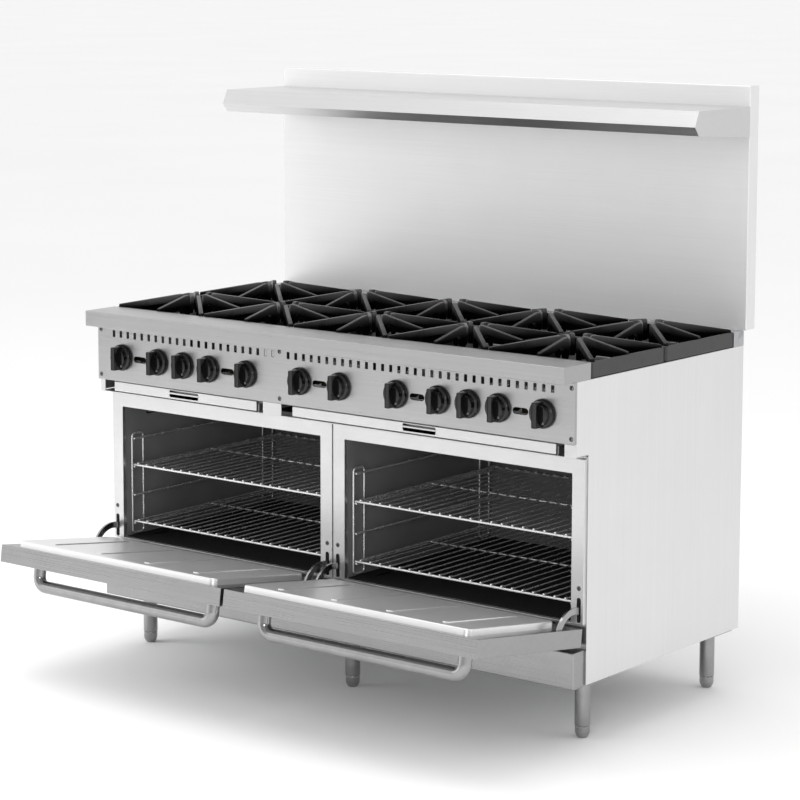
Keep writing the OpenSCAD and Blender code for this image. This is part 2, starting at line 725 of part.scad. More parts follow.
module door_left_hinge_arms() door_hinge_arms(-1);
module door_right_hinge_arms() door_hinge_arms(1);

// Fixed hinge lugs and pins, which reach through the oven front into the doors.
module hinge_brackets() color(chrome) placed() for (d = [-door_mid_x, door_mid_x], s = [-1, 1]) {
    x = d + s * lug_x;
    along_x(x - 4, x + 4) {
        translate([pin_y, pin_z]) circle(9, $fn = 48);
        translate([pin_y, pin_z - 9]) square([sheet - pin_y, 18]);
    }
    box([x - 15, sheet, pin_z - 20], [x + 15, sheet + 4, pin_z + 20]);
    rod([x - 14, pin_y, pin_z], [x + 14, pin_y, pin_z], pin_r);
}

// ---------------------------------------------------------------- backguard and shelf

// Backguard: one folded sheet, open at the rear and below.
module backguard() color(steel) placed() {
    skin = 1.5;
    bottom = ledge_top_z - 4;
    difference() {
        box([-half_w, backguard_y, bottom], [half_w, rear_y, backguard_top]);
        box([-half_w + skin, backguard_y + skin, bottom - 1],
            [half_w - skin, rear_y + 1, backguard_top - skin]);
    }
}

// Two channels that carry the backguard on the back panel.
module backguard_supports() color(steel) placed() for (x = [-500, 500]) {
    front = backguard_y + 1.5;
    box([x - 20, front, deck_z - 116], [x + 20, front + sheet, backguard_top - 60]);
    for (e = [x - 20, x + 18])
        box([e, front + sheet, deck_z - 116], [e + sheet, rear_y - 3, backguard_top - 60]);
    box([x - 20, body_d, deck_z - 100], [x + 20, front, deck_z + 24]);
}

// High shelf: a folded sheet with a rolled nose, closed end plates and a rear flange.
module high_shelf() color(steel) placed() {
    top = backguard_top - 52;
    back = backguard_y;
    front = back - 256;
    nose = [[back, top], [front + 18, top], [front, top - 38], [front + 18, top - 60],
            [front + 40, top - 60]];
    inner = [[front + 40, top - 58], [front + 19, top - 58], [front + 2.3, top - 37.7],
             [front + 19.3, top - 2], [back, top - 2]];
    along_x(-in_w, in_w) polygon(concat(nose, inner));
    for (x = [-half_w, in_w]) along_x(x, x + sheet) polygon([
        [back, top], [front + 18, top], [front, top - 38], [front + 18, top - 60], [back, top - 75]
    ]);
    box([-in_w, back - sheet, top - 75], [in_w, back, top - 2]);
}

// ---------------------------------------------------------------- legs

leg_places = [for (x = [-705, 0, 705], y = [70, 628]) [x, y]];
foot_h = 30;

// Tubular legs, each with a mounting plate and an end cap bored for its foot.
module legs() color(chrome) placed() for (p = leg_places) translate([p.x, p.y, 0]) {
    translate([-45, -45, leg_h - 4]) cube([90, 90, 4]);
    difference() {
        translate([0, 0, foot_h]) cylinder(h = leg_h - 4 - foot_h, r = 19, $fn = 64);
        translate([0, 0, foot_h + 6]) cylinder(h = leg_h - 4 - foot_h - 6, r = 16.5, $fn = 64);
        translate([0, 0, foot_h - 1]) cylinder(h = 8, r = 6 + pin_clear, $fn = 64);
    }
}

// Bullet feet with threaded stems inside the legs.
module feet() color(chrome) placed() for (p = leg_places) translate([p.x, p.y, 0]) {
    cylinder(h = 12, r1 = 12, r2 = 18, $fn = 64);
    translate([0, 0, 12]) cylinder(h = foot_h - 12, r = 18, $fn = 64);
    translate([0, 0, foot_h]) cylinder(h = 30, r = 6, $fn = 64);
}

// ---------------------------------------------------------------- knobs

// Knob with a flared skirt and a straight grip, on a stem that turns in its valve.
module knob(x) color("#1a1a1a") placed() translate([x, panel_y - 2, knob_z]) rotate([90, 0, 0]) {
    skirt_h = 9;
    body_h = 10;
    grip_h = 18;
    cylinder(h = skirt_h, r1 = knob_r, r2 = knob_r - 4, $fn = 96);
    translate([0, 0, skirt_h]) cylinder(h = body_h, r1 = knob_r - 8, r2 = knob_r - 10, $fn = 96);
    translate([-6.5, 4 - knob_r, skirt_h]) cube([13, 2 * knob_r - 8, body_h + grip_h - 1]);
    translate([0, 0, -30]) cylinder(h = 30, r = stem_r, $fn = 48);
}

module knob_1() knob(burner_knobs[0]);
module knob_2() knob(burner_knobs[1]);
module knob_3() knob(burner_knobs[2]);
module knob_4() knob(burner_knobs[3]);
module knob_5() knob(burner_knobs[4]);
module knob_6() knob(burner_knobs[5]);
module knob_7() knob(burner_knobs[6]);
module knob_8() knob(burner_knobs[7]);
module knob_9() knob(burner_knobs[8]);
module knob_10() knob(burner_knobs[9]);
module thermostat_knob_left() knob(-thermostat_x);
module thermostat_knob_right() knob(thermostat_x);

side_panel_left();
side_panel_right();
back_panel();
base_pan();
kick_panel();
control_panel();
front_ledge();
oven_front_frame();
oven_liners();
oven_floor_plates();
rack_guides();
oven_burners();
burner_box();
top_burners();
gas_manifold();
gas_valves();
oven_thermostats();
backguard();
backguard_supports();
high_shelf();
legs();
feet();
hinge_brackets();
panel_screws();
door_left_pan();
door_left_liner();
door_left_handle();
door_left_hinge_arms();
door_right_pan();
door_right_liner();
door_right_handle();
door_right_hinge_arms();
rack_left_lower();
rack_left_upper();
rack_right_lower();
rack_right_upper();
crumb_tray_left();
crumb_tray_right();
grate_front_1();
grate_front_2();
grate_front_3();
grate_front_4();
grate_front_5();
grate_rear_1();
grate_rear_2();
grate_rear_3();
grate_rear_4();
grate_rear_5();
knob_1();
knob_2();
thermostat_knob_left();
knob_3();
knob_4();
knob_5();
knob_6();
knob_7();
knob_8();
thermostat_knob_right();
knob_9();
knob_10();
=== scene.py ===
# Restaurant gas range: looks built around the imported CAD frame. Row frame, metres, front towards -Y.
import bmesh
import bpy
import json
import math
from mathutils import Matrix, Vector
from mathutils.geometry import delaunay_2d_cdt


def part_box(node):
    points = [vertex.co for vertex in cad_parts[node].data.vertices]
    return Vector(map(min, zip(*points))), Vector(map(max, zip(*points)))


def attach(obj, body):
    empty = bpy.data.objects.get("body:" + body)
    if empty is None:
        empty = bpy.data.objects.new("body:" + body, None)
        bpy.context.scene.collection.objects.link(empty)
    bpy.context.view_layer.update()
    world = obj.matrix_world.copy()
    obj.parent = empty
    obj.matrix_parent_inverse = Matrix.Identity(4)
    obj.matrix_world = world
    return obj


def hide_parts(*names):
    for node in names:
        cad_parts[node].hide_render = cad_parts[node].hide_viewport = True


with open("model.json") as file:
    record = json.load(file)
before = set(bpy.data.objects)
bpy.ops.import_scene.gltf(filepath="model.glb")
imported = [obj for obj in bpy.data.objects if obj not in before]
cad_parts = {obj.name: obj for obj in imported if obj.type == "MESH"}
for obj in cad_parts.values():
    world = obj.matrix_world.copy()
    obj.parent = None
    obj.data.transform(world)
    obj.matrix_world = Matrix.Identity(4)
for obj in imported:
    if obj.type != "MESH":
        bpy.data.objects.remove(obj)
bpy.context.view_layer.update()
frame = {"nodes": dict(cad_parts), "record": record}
scene = bpy.context.scene
NODES = frame["nodes"]
JOINTS = {j["name"]: j for j in frame["record"]["behaviour"]["joints"]}
MM = 0.001

# Shapes are drawn in millimetres, with X and Z as in the row frame and Y counted from the
# front edge of the lower side panels. The panels' upper lobe stands forward of that edge.
PANEL_LOBE = 50.0
Y0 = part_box("side_panel_right")[0].y + PANEL_LOBE * MM


def box_mm(node):
    """A CAD node's box at rest as x0, x1, y0, y1, z0, z1, in the drawing's millimetres."""
    a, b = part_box(node)
    return [round(v / MM, 1) for v in (a.x, b.x, a.y - Y0, b.y - Y0, a.z, b.z)]


def middle(node):
    """Middle of a CAD node's box, in the row frame's metres."""
    a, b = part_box(node)
    return (a + b) / 2


# ------------------------------------------------------------------ mesh tools

class Piece:
    """Gathers faces, with a material number each, and becomes one object."""

    def __init__(self):
        self.v, self.f, self.m = [], [], []

    def add(self, verts, faces, mat=0, move=None, flip=False):
        base = len(self.v)
        for p in verts:
            p = Vector(p)
            self.v.append(move @ p if move is not None else p)
        for f in faces:
            f = [i + base for i in f]
            self.f.append(f[::-1] if flip else f)
            self.m.append(mat)

    def join(self, other, mat=None, move=None):
        base = len(self.v)
        self.v += [move @ p if move is not None else p for p in other.v]
        mirrored = move is not None and move.determinant() < 0
        for f, m in zip(other.f, other.m):
            f = [i + base for i in f]
            self.f.append(f[::-1] if mirrored else f)
            self.m.append(m if mat is None else mat)
        return self

    def mesh(self, name, mats, angle=40, y_shift=0.0):
        """The faces as a mesh in metres, smooth apart from edges sharper than the angle."""
        mesh = bpy.data.meshes.new(name)
        mesh.from_pydata([(p.x * MM, p.y * MM + y_shift, p.z * MM) for p in self.v], [], self.f)
        for m in mats:
            mesh.materials.append(m)
        mesh.polygons.foreach_set("material_index", self.m)
        mesh.polygons.foreach_set("use_smooth", [True] * len(mesh.polygons))
        mesh.validate()
        mesh.update()
        mesh.set_sharp_from_angle(angle=math.radians(angle))
        return mesh

    def build(self, name, mats, body, nodes, slot, angle=40):
        place(name, self.mesh(name, mats, angle, Y0), body, nodes)


def place(name, mesh, body, nodes, location=(0, 0, 0)):
    """One object that rides its body in place of its nodes. Flat faces stay flat beside small bends."""
    ob = bpy.data.objects.new(name, mesh)
    scene.collection.objects.link(ob)
    ob.location = location
    w = ob.modifiers.new("flats", "WEIGHTED_NORMAL")
    w.keep_sharp = True
    w.weight = 50
    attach(ob, body)
    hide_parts(*nodes)


def fillet(points, radii):
    """Closed 2D outline with each corner rounded to its radius."""
    n = 4
    out = []
    for i, (p, r) in enumerate(zip(points, radii)):
        p = Vector(p)
        a = Vector(points[i - 1]) - p
        b = Vector(points[(i + 1) % len(points)]) - p
        la, lb = a.length, b.length
        a.normalize()
        b.normalize()
        half = math.acos(max(-1, min(1, a.dot(b)))) / 2
        if half > math.pi / 2 - 1e-4:
            out.append(p)
            continue
        t = min(r / math.tan(half), la * 0.499, lb * 0.499)
        rr = t * math.tan(half)
        centre = p + (a + b).normalized() * (rr / math.sin(half))
        s, e = p + a * t - centre, p + b * t - centre
        turn = math.atan2(s.x * e.y - s.y * e.x, s.dot(e))
        for k in range(n + 1):
            c, q = math.cos(turn * k / n), math.sin(turn * k / n)
            out.append(centre + Vector((s.x * c - s.y * q, s.x * q + s.y * c)))
    return out


def rrect(x0, x1, z0, z1, r, off=0.0, n=4):
    """Rounded rectangle, counter-clockwise, moved inwards by off."""
    x0, x1, z0, z1 = x0 + off, x1 - off, z0 + off, z1 - off
    r = max(min(r - off, (x1 - x0) / 2 - 1e-3, (z1 - z0) / 2 - 1e-3), 1e-2)
    out = []
    corners = ((x1 - r, z0 + r, -90), (x1 - r, z1 - r, 0), (x0 + r, z1 - r, 90), (x0 + r, z0 + r, 180))
    for cx, cz, a in corners:
        for k in range(n + 1):
            t = math.radians(a + 90 * k / n)
            out.append(Vector((cx + r * math.cos(t), cz + r * math.sin(t))))
    return out


def slot_hole(cx, cz, w, h, r, n=4):
    """Outline of a slot as a function of how far it is widened."""
    return lambda g: rrect(cx - w / 2 - g, cx + w / 2 + g, cz - h / 2 - g, cz + h / 2 + g, r + g, 0, n)


def around(n):
    """Cosine and sine of n even steps round a circle."""
    return [(math.cos(2 * math.pi * k / n), math.sin(2 * math.pi * k / n)) for k in range(n)]


def round_hole(cx, cz, r, n=24):
    """Outline of a round hole as a function of how far it is widened."""
    return lambda g: [Vector((cx + (r + g) * c, cz + (r + g) * s)) for c, s in around(n)]


def face_with_holes(outer, holes):
    """Triangles between an outline and holes, in 2D."""
    pts, loops = [], []
    for ring in [outer] + holes:
        base = len(pts)
        pts += [Vector((p[0], p[1])) for p in ring]
        loops.append(list(range(base, base + len(ring))))
    v, _, f, _, _, _ = delaunay_2d_cdt(pts, [], loops, 1, 1e-4, True)
    boxes = []
    for h in holes:
        xs, ys = [q[0] for q in h], [q[1] for q in h]
        boxes.append((min(xs), max(xs), min(ys), max(ys), h))
    kept = []
    for t in f:
        c = sum((v[i] for i in t), Vector((0, 0))) / len(t)
        if not any(b[0] < c.x < b[1] and b[2] < c.y < b[3] and inside(c, b[4]) for b in boxes):
            kept.append(t)
    return v, kept


def inside(c, ring):
    """Whether a 2D point is inside a closed ring."""
    odd = False
    for i, p in enumerate(ring):
        q = ring[i - 1]
        if (p[1] > c.y) != (q[1] > c.y) and c.x < (q[0] - p[0]) * (c.y - p[1]) / (q[1] - p[1]) + p[0]:
            odd = not odd
    return odd


def grid_faces(rings):
    """Faces between rings of equal length."""
    n = len(rings[0])
    faces = []
    for i in range(len(rings) - 1):
        for k in range(n):
            a, b = i * n + k, i * n + (k + 1) % n
            faces.append((a, b, b + n, a + n))
    return faces


def bend(n):
    """Sine and cosine of the steps of a quarter turn, after its start."""
    return [(math.sin(math.radians(90 * k / n)), math.cos(math.radians(90 * k / n))) for k in range(1, n + 1)]


def flat(rings):
    """The points of all the rings in one list."""
    return [p for ring in rings for p in ring]


def pan(piece, x0, x1, z0, z1, yf, yb, r, corner, holes=(), hole_depth=2.0, soft=0.4, wall=0,
        back="lip", lip_r=0.5):
    """Folded pan: a face at yf towards -Y, bends of radius r and flanges back to yb.

    At the back the flanges stay open, turn in as a lip, or turn into a closed sheet.
    """
    n = 4
    depth = yb - yf
    prof = [(r, 0.0)] + [(r - r * s, r - r * c) for s, c in bend(n)]
    if back == "open":
        prof.append((0.0, depth))
    else:
        prof.append((0.0, depth - lip_r))
        prof += [(lip_r - lip_r * c, depth - lip_r + lip_r * s) for s, c in bend(n)]
    if back == "lip":
        prof.append((2.0, depth))
    rings = []
    for off, d in prof:
        ring = rrect(x0, x1, z0, z1, max(corner, off + 0.01), off, n)
        rings.append([Vector((p.x, yf + d, p.y)) for p in ring])
    piece.add(flat(rings), grid_faces(rings), flip=True)
    flat_face(piece, [(p.x, p.z) for p in rings[0]], holes, yf, 1, hole_depth, soft, wall)
    if back == "closed":
        flat_face(piece, [(p.x, p.z) for p in rings[-1]], [], yb, -1, hole_depth, soft)


def flat_face(piece, outer, holes, y, s, depth, soft, wall=0):
    """Flat face in the XZ plane with soft-edged holes. s is the way the holes go in."""
    v, f = face_with_holes(outer, [h(soft) for h in holes])
    piece.add([Vector((p.x, y, p.y)) for p in v], f, flip=(s < 0))
    for h in holes:
        rings = []
        for g, d in ((1.0, 0.0), (0.3, 0.3), (0.0, 1.0)):
            rings.append([Vector((p.x, y + s * d * soft, p.y)) for p in h(g * soft)])
        rings.append([Vector((p.x, y + s * depth, p.y)) for p in h(0.0)])
        piece.add(flat(rings), grid_faces(rings), wall, flip=(s < 0))


def prism(n):
    """Faces of a prism whose two ends have n corners each."""
    sides = [(k, (k + 1) % n, n + (k + 1) % n, n + k) for k in range(n)]
    return sides + [tuple(range(n - 1, -1, -1)), tuple(range(n, 2 * n))]


def along_x(piece, outline, x0, x1):
    """Closed YZ outline drawn out along X."""
    piece.add([Vector((x, p[0], p[1])) for x in (x0, x1) for p in outline], prism(len(outline)))


def tube(piece, path, r, seg=16, rounded=True, radii=None):
    """Round bar along 3D points, with rounded or flat ends. It may have a radius for each point."""
    path = [Vector(p) for p in path]
    dirs = []
    for i in range(len(path)):
        a = path[i] - path[i - 1] if i else path[1] - path[0]
        b = path[i + 1] - path[i] if i < len(path) - 1 else a
        dirs.append((a.normalized() + b.normalized()).normalized())
    up = Vector((0, 0, 1)) if abs(dirs[0].z) < 0.9 else Vector((1, 0, 0))
    side = dirs[0].cross(up).normalized()
    rings = []

    def ring(centre, d, side, rad):
        other = d.cross(side).normalized()
        return [centre + (side * c + other * s) * rad for c, s in around(seg)]

    def tip(i, d, a):
        """Ring of the rounded end, a degrees past the bar's own end and 0.6 of a radius deep."""
        t = math.radians(a)
        return ring(path[i] + d * rr[i] * 0.6 * math.sin(t), dirs[i], side, rr[i] * math.cos(t))

    rr = radii or [r] * len(path)
    if rounded:
        rings += [tip(0, -dirs[0], a) for a in (85, 55, 25)]
    for i, p in enumerate(path):
        if i:
            axis = dirs[i - 1].cross(dirs[i])
            if axis.length > 1e-9:
                turn = Matrix.Rotation(dirs[i - 1].angle(dirs[i]), 3, axis)
                side = turn @ side
        rings.append(ring(p, dirs[i], side, rr[i]))
    if rounded:
        rings += [tip(-1, dirs[-1], a) for a in (25, 55, 85)]
    piece.add(flat(rings), grid_faces(rings) + ends(rings))


def ends(rings):
    """The two faces that close a stack of rings."""
    n, total = len(rings[0]), len(rings)
    return [tuple(range(n - 1, -1, -1)), tuple(range((total - 1) * n, total * n))]


def bent(points, radius, n=6):
    """3D polyline with rounded bends."""
    pts = [Vector(p) for p in points]
    out = [pts[0]]
    for i in range(1, len(pts) - 1):
        p = pts[i]
        a, b = (pts[i - 1] - p), (pts[i + 1] - p)
        la, lb = a.length, b.length
        a.normalize()
        b.normalize()
        half = a.angle(b) / 2
        if half > math.pi / 2 - 1e-3:
            out.append(p)
            continue
        t = min(radius / math.tan(half), la * 0.49, lb * 0.49)
        rr = t * math.tan(half)
        centre = p + (a + b).normalized() * (rr / math.sin(half))
        s, e = p + a * t - centre, p + b * t - centre
        total = s.angle(e)
        axis = s.cross(e).normalized()
        for k in range(n + 1):
            out.append(centre + Matrix.Rotation(total * k / n, 3, axis) @ s)
    out.append(pts[-1])
    return out


def lathe(piece, profile, seg=32, mat=0, move=None):
    """Turns an (r, z) profile about Z. A profile that runs upwards on its outside faces outwards."""
    rings = []
    for r, z in profile:
        r = max(r, 1e-6)
        rings.append([Vector((r * c, r * s, z)) for c, s in around(seg)])
    piece.add(flat(rings), grid_faces(rings), mat, move)


def block(piece, a, b, r):
    """Box with rounded edges, by rounded rectangles stacked along Y."""
    a, b = Vector(a), Vector(b)
    r = min(r, (b.x - a.x) * 0.45, (b.y - a.y) * 0.45, (b.z - a.z) * 0.45)
    n = 2
    turn = [(0.0, 1.0)] + bend(n)
    levels = [(r - r * s, a.y + r - r * c) for s, c in turn] + [(r - r * c, b.y - r + r * s) for s, c in turn]
    loops = []
    for off, y in levels:
        loops.append([Vector((p.x, y, p.y)) for p in rrect(a.x, b.x, a.z, b.z, r + 0.01, off, n)])
    piece.add(flat(loops), grid_faces(loops) + ends(loops), flip=True)


def at(x, y, z):
    return Matrix.Translation(Vector((x, y, z)))


def rot(deg, axis):
    return Matrix.Rotation(math.radians(deg), 4, axis)


TO_FRONT = rot(90, "X")                      # a lathe's +Z points towards -Y


# ------------------------------------------------------------------ materials

def new_material(name):
    """An empty material: itself, its tree, its shader and its coordinates."""
    m = bpy.data.materials.new(name)
    m.use_nodes = True
    nt = m.node_tree
    nt.nodes.clear()
    out = nt.nodes.new("ShaderNodeOutputMaterial")
    b = nt.nodes.new("ShaderNodeBsdfPrincipled")
    nt.links.new(b.outputs["BSDF"], out.inputs["Surface"])
    coord = nt.nodes.new("ShaderNodeTexCoord")
    return m, nt, b, coord


def noise(nt, coord, stretch, detail, rough):
    """Noise with so many cells to the metre, the same along every axis or not."""
    mp = nt.nodes.new("ShaderNodeMapping")
    mp.inputs["Scale"].default_value = stretch if hasattr(stretch, "__len__") else (stretch,) * 3
    nt.links.new(coord.outputs["Object"], mp.inputs["Vector"])
    t = nt.nodes.new("ShaderNodeTexNoise")
    t.inputs["Scale"].default_value = 1.0
    t.inputs["Detail"].default_value = detail
    t.inputs["Roughness"].default_value = rough
    nt.links.new(mp.outputs["Vector"], t.inputs["Vector"])
    return t.outputs["Fac"]


def spread(nt, value, low, high, a=0.3, b=0.7):
    """Maps a..b to low..high, and holds the ends."""
    r = nt.nodes.new("ShaderNodeMapRange")
    r.inputs["From Min"].default_value = a
    r.inputs["From Max"].default_value = b
    r.inputs["To Min"].default_value = low
    r.inputs["To Max"].default_value = high
    nt.links.new(value, r.inputs["Value"])
    return r.outputs["Result"]


def calc(nt, op, a, b):
    """One step of arithmetic between sockets or plain numbers."""
    m = nt.nodes.new("ShaderNodeMath")
    m.operation = op
    for i, x in enumerate((a, b)):
        if isinstance(x, (int, float)):
            m.inputs[i].default_value = x
        else:
            nt.links.new(x, m.inputs[i])
    return m.outputs["Value"]


def grey(nt, value, tint=(1.0, 1.0, 1.0)):
    """A value as a colour, slightly tinted."""
    c = nt.nodes.new("ShaderNodeCombineColor")
    for i, t in enumerate(tint):
        nt.links.new(calc(nt, "MULTIPLY", value, t), c.inputs[i])
    return c.outputs["Color"]


def bump(nt, height, distance, strength=1.0, normal=None):
    """Relief of so many metres, over an earlier relief if there is one."""
    b = nt.nodes.new("ShaderNodeBump")
    b.inputs["Strength"].default_value = strength
    b.inputs["Distance"].default_value = distance
    nt.links.new(height, b.inputs["Height"])
    if normal is not None:
        nt.links.new(normal, b.inputs["Normal"])
    return b.outputs["Normal"]


def brushed(name, grain, base, rough, wave=0.0007, aniso=0.35, metal=1.0):
    """Brushed sheet with its grain along X or Z: fine and coarse streaks, handling marks, slight waviness."""
    m, nt, b, coord = new_material(name)
    fine = {"X": (2.5, 800, 800), "Z": (800, 800, 2.5)}[grain]
    mid = {"X": (0.7, 90, 90), "Z": (90, 90, 0.7)}[grain]
    f = noise(nt, coord, fine, 3.0, 0.6)
    c = noise(nt, coord, mid, 2.0, 0.5)
    cloud = noise(nt, coord, 3.2, 3.0, 0.55)
    smudge = noise(nt, coord, 11.0, 4.0, 0.62)
    value = calc(nt, "ADD", spread(nt, f, -0.022, 0.022), spread(nt, c, base - 0.006, base + 0.006))
    value = calc(nt, "ADD", value, spread(nt, cloud, -0.008, 0.008))
    nt.links.new(grey(nt, value), b.inputs["Base Color"])
    r = calc(nt, "ADD", spread(nt, f, rough - 0.05, rough + 0.05), spread(nt, smudge, -0.02, 0.035, 0.45, 0.75))
    nt.links.new(r, b.inputs["Roughness"])
    b.inputs["Metallic"].default_value = metal
    b.inputs["Anisotropic"].default_value = aniso
    n1 = bump(nt, noise(nt, coord, 3.0, 1.0, 0.4), wave)
    n2 = bump(nt, f, 0.00004, 0.6, n1)
    nt.links.new(n2, b.inputs["Normal"])
    if aniso:
        t = nt.nodes.new("ShaderNodeTangent")
        t.direction_type = "RADIAL"
        t.axis = "Z"
        nt.links.new(t.outputs["Tangent"], b.inputs["Tangent"])
    return m


def plated(name, base, rough, metal=1.0):
    """Bright plated steel with faint smears and a slight ripple."""
    m, nt, b, coord = new_material(name)
    smear = noise(nt, coord, 24.0, 4.0, 0.6)
    fine = noise(nt, coord, 260.0, 2.0, 0.5)
    nt.links.new(grey(nt, spread(nt, smear, base - 0.03, base + 0.03), (1.0, 1.0, 1.01)), b.inputs["Base Color"])
    dull = calc(nt, "ADD", spread(nt, smear, rough - 0.03, rough + 0.06), spread(nt, fine, -0.01, 0.01))
    nt.links.new(dull, b.inputs["Roughness"])
    b.inputs["Metallic"].default_value = metal
    nt.links.new(bump(nt, noise(nt, coord, 40.0, 1.0, 0.4), 0.00006), b.inputs["Normal"])
    return m


def dull_sheet(name):
    """Plated sheet with large flat crystals."""
    m, nt, b, coord = new_material(name)
    base, rough = 0.42, 0.45
    v = nt.nodes.new("ShaderNodeTexVoronoi")
    v.inputs["Scale"].default_value = 34.0
    nt.links.new(coord.outputs["Object"], v.inputs["Vector"])
    sep = nt.nodes.new("ShaderNodeSeparateColor")
    nt.links.new(v.outputs["Color"], sep.inputs["Color"])
    n = noise(nt, coord, 14.0, 4.0, 0.6)
    crystal = spread(nt, sep.outputs["Red"], base - 0.05, base + 0.05, 0.0, 1.0)
    value = calc(nt, "ADD", crystal, spread(nt, n, -0.03, 0.03))
    nt.links.new(grey(nt, value, (0.985, 1.0, 1.015)), b.inputs["Base Color"])
    nt.links.new(spread(nt, sep.outputs["Green"], rough - 0.08, rough + 0.08, 0.0, 1.0), b.inputs["Roughness"])
    b.inputs["Metallic"].default_value = 0.9
    nt.links.new(bump(nt, n, 0.0002), b.inputs["Normal"])
    return m


def cast(name, base, rough, grain=0.00022):
    """Sand-cast iron under black enamel: pebbled skin, lighter rubbed patches."""
    m, nt, b, coord = new_material(name)
    peb = noise(nt, coord, 520.0, 3.0, 0.6)
    lump = noise(nt, coord, 85.0, 3.0, 0.5)
    patch = noise(nt, coord, 16.0, 4.0, 0.65)
    value = calc(nt, "ADD", spread(nt, patch, base * 0.75, base * 1.45), spread(nt, peb, -base * 0.2, base * 0.3))
    nt.links.new(grey(nt, value, (1.0, 0.985, 0.975)), b.inputs["Base Color"])
    dull = calc(nt, "ADD", spread(nt, patch, rough - 0.07, rough + 0.10), spread(nt, peb, -0.05, 0.05))
    nt.links.new(dull, b.inputs["Roughness"])
    b.inputs["Specular IOR Level"].default_value = 0.55
    n1 = bump(nt, lump, grain * 2.2, 0.8)
    nt.links.new(bump(nt, peb, grain, 0.8, n1), b.inputs["Normal"])
    return m


def painted_shade_copy(material):
    """A copy of the casting's look with light painted in: painted shade that darkens it and dims its specular towards
    its foot, and a painted highlight that lightens the fin noses by the burner.
    """
    m = material.copy()
    m.name = material.name + "_painted_shade"
    nt = m.node_tree
    b = next(n for n in nt.nodes if n.type == "BSDF_PRINCIPLED")
    coord = next(n for n in nt.nodes if n.type == "TEX_COORD")
    axes = nt.nodes.new("ShaderNodeSeparateXYZ")
    nt.links.new(coord.outputs["Object"], axes.inputs["Vector"])
    level_xy = nt.nodes.new("ShaderNodeVectorMath")
    level_xy.operation = "MULTIPLY"
    level_xy.inputs[1].default_value = (1.0, 1.0, 0.0)
    nt.links.new(coord.outputs["Object"], level_xy.inputs[0])
    reach = nt.nodes.new("ShaderNodeVectorMath")
    reach.operation = "LENGTH"
    nt.links.new(level_xy.outputs["Vector"], reach.inputs[0])
    # Painted highlight: up to five times the base within 21 mm of the middle, on the fin noses.
    nose_highlight = spread(nt, reach.outputs["Value"], 5.0, 1.0, 0.021, 0.027)
    # Painted shade and light: from 0.06 times the base low down to 2.2 times at the fins' tops.
    level = calc(nt, "MULTIPLY", spread(nt, axes.outputs["Z"], 0.06, 2.2, 0.918, 0.945), nose_highlight)
    scale = nt.nodes.new("ShaderNodeVectorMath")
    scale.operation = "SCALE"
    nt.links.new(b.inputs["Base Color"].links[0].from_socket, scale.inputs[0])
    nt.links.new(level, scale.inputs["Scale"])
    nt.links.new(scale.outputs["Vector"], b.inputs["Base Color"])
    # Painted shade: the specular fades towards the foot.
    nt.links.new(spread(nt, axes.outputs["Z"], 0.03, 0.6, 0.914, 0.942), b.inputs["Specular IOR Level"])
    return m


def moulded(name, base, rough):
    """Moulded plastic with dust and fine rub marks."""
    m, nt, b, coord = new_material(name)
    dust = noise(nt, coord, 130.0, 5.0, 0.7)
    rub = noise(nt, coord, (60, 60, 900), 2.0, 0.5)
    nt.links.new(grey(nt, spread(nt, dust, base, base * 1.9, 0.4, 0.75)), b.inputs["Base Color"])
    dull = calc(nt, "ADD", spread(nt, dust, rough - 0.03, rough + 0.09), spread(nt, rub, -0.03, 0.03))
    nt.links.new(dull, b.inputs["Roughness"])
    b.inputs["Specular IOR Level"].default_value = 0.5
    nt.links.new(bump(nt, dust, 0.00003), b.inputs["Normal"])
    return m


def enamel(name, base, rough, shine=0.5):
    """Grey-black porcelain enamel: orange peel and pale flecks."""
    m, nt, b, coord = new_material(name)
    v = nt.nodes.new("ShaderNodeTexVoronoi")
    v.inputs["Scale"].default_value = 210.0
    nt.links.new(coord.outputs["Object"], v.inputs["Vector"])
    fleck = spread(nt, v.outputs["Distance"], 0.10, 0.0, 0.05, 0.13)
    peel = noise(nt, coord, 90.0, 2.0, 0.5)
    cloud = noise(nt, coord, 5.0, 3.0, 0.5)
    value = calc(nt, "ADD", spread(nt, cloud, base * 0.85, base * 1.2), calc(nt, "MULTIPLY", fleck, min(0.5, base * 5)))
    b.inputs["Specular IOR Level"].default_value = shine
    nt.links.new(grey(nt, value, (1.0, 1.0, 1.02)), b.inputs["Base Color"])
    nt.links.new(spread(nt, cloud, rough - 0.04, rough + 0.06), b.inputs["Roughness"])
    nt.links.new(bump(nt, peel, 0.00012), b.inputs["Normal"])
    return m


def drawn_metal(name, colour, rough):
    """Pipe or brass with drawn marks and a slight tarnish."""
    m, nt, b, coord = new_material(name)
    tarnish = noise(nt, coord, 30.0, 5.0, 0.65)
    drawn = noise(nt, coord, (12, 300, 300), 2.0, 0.5)
    value = calc(nt, "ADD", spread(nt, tarnish, 0.72, 1.06), spread(nt, drawn, -0.06, 0.06))
    nt.links.new(grey(nt, value, colour), b.inputs["Base Color"])
    nt.links.new(spread(nt, tarnish, rough + 0.14, rough - 0.04), b.inputs["Roughness"])
    b.inputs["Metallic"].default_value = 1.0
    nt.links.new(bump(nt, drawn, 0.00006), b.inputs["Normal"])
    return m


STEEL_X = brushed("brushed_steel_x", "X", base=0.62, rough=0.36)
STEEL_Z = brushed("brushed_steel_z", "Z", base=0.74, rough=0.42, wave=0.0004)
# Darker copies of the same stainless steel: painted shade on the control panel, ledge, kick panel and door pans.
STEEL_PANEL_PAINTED_SHADE = brushed("brushed_steel_panel", "X", base=0.41, rough=0.33)
STEEL_DOOR_PAINTED_SHADE = brushed("brushed_steel_door", "X", base=0.34, rough=0.30, wave=0.0004)
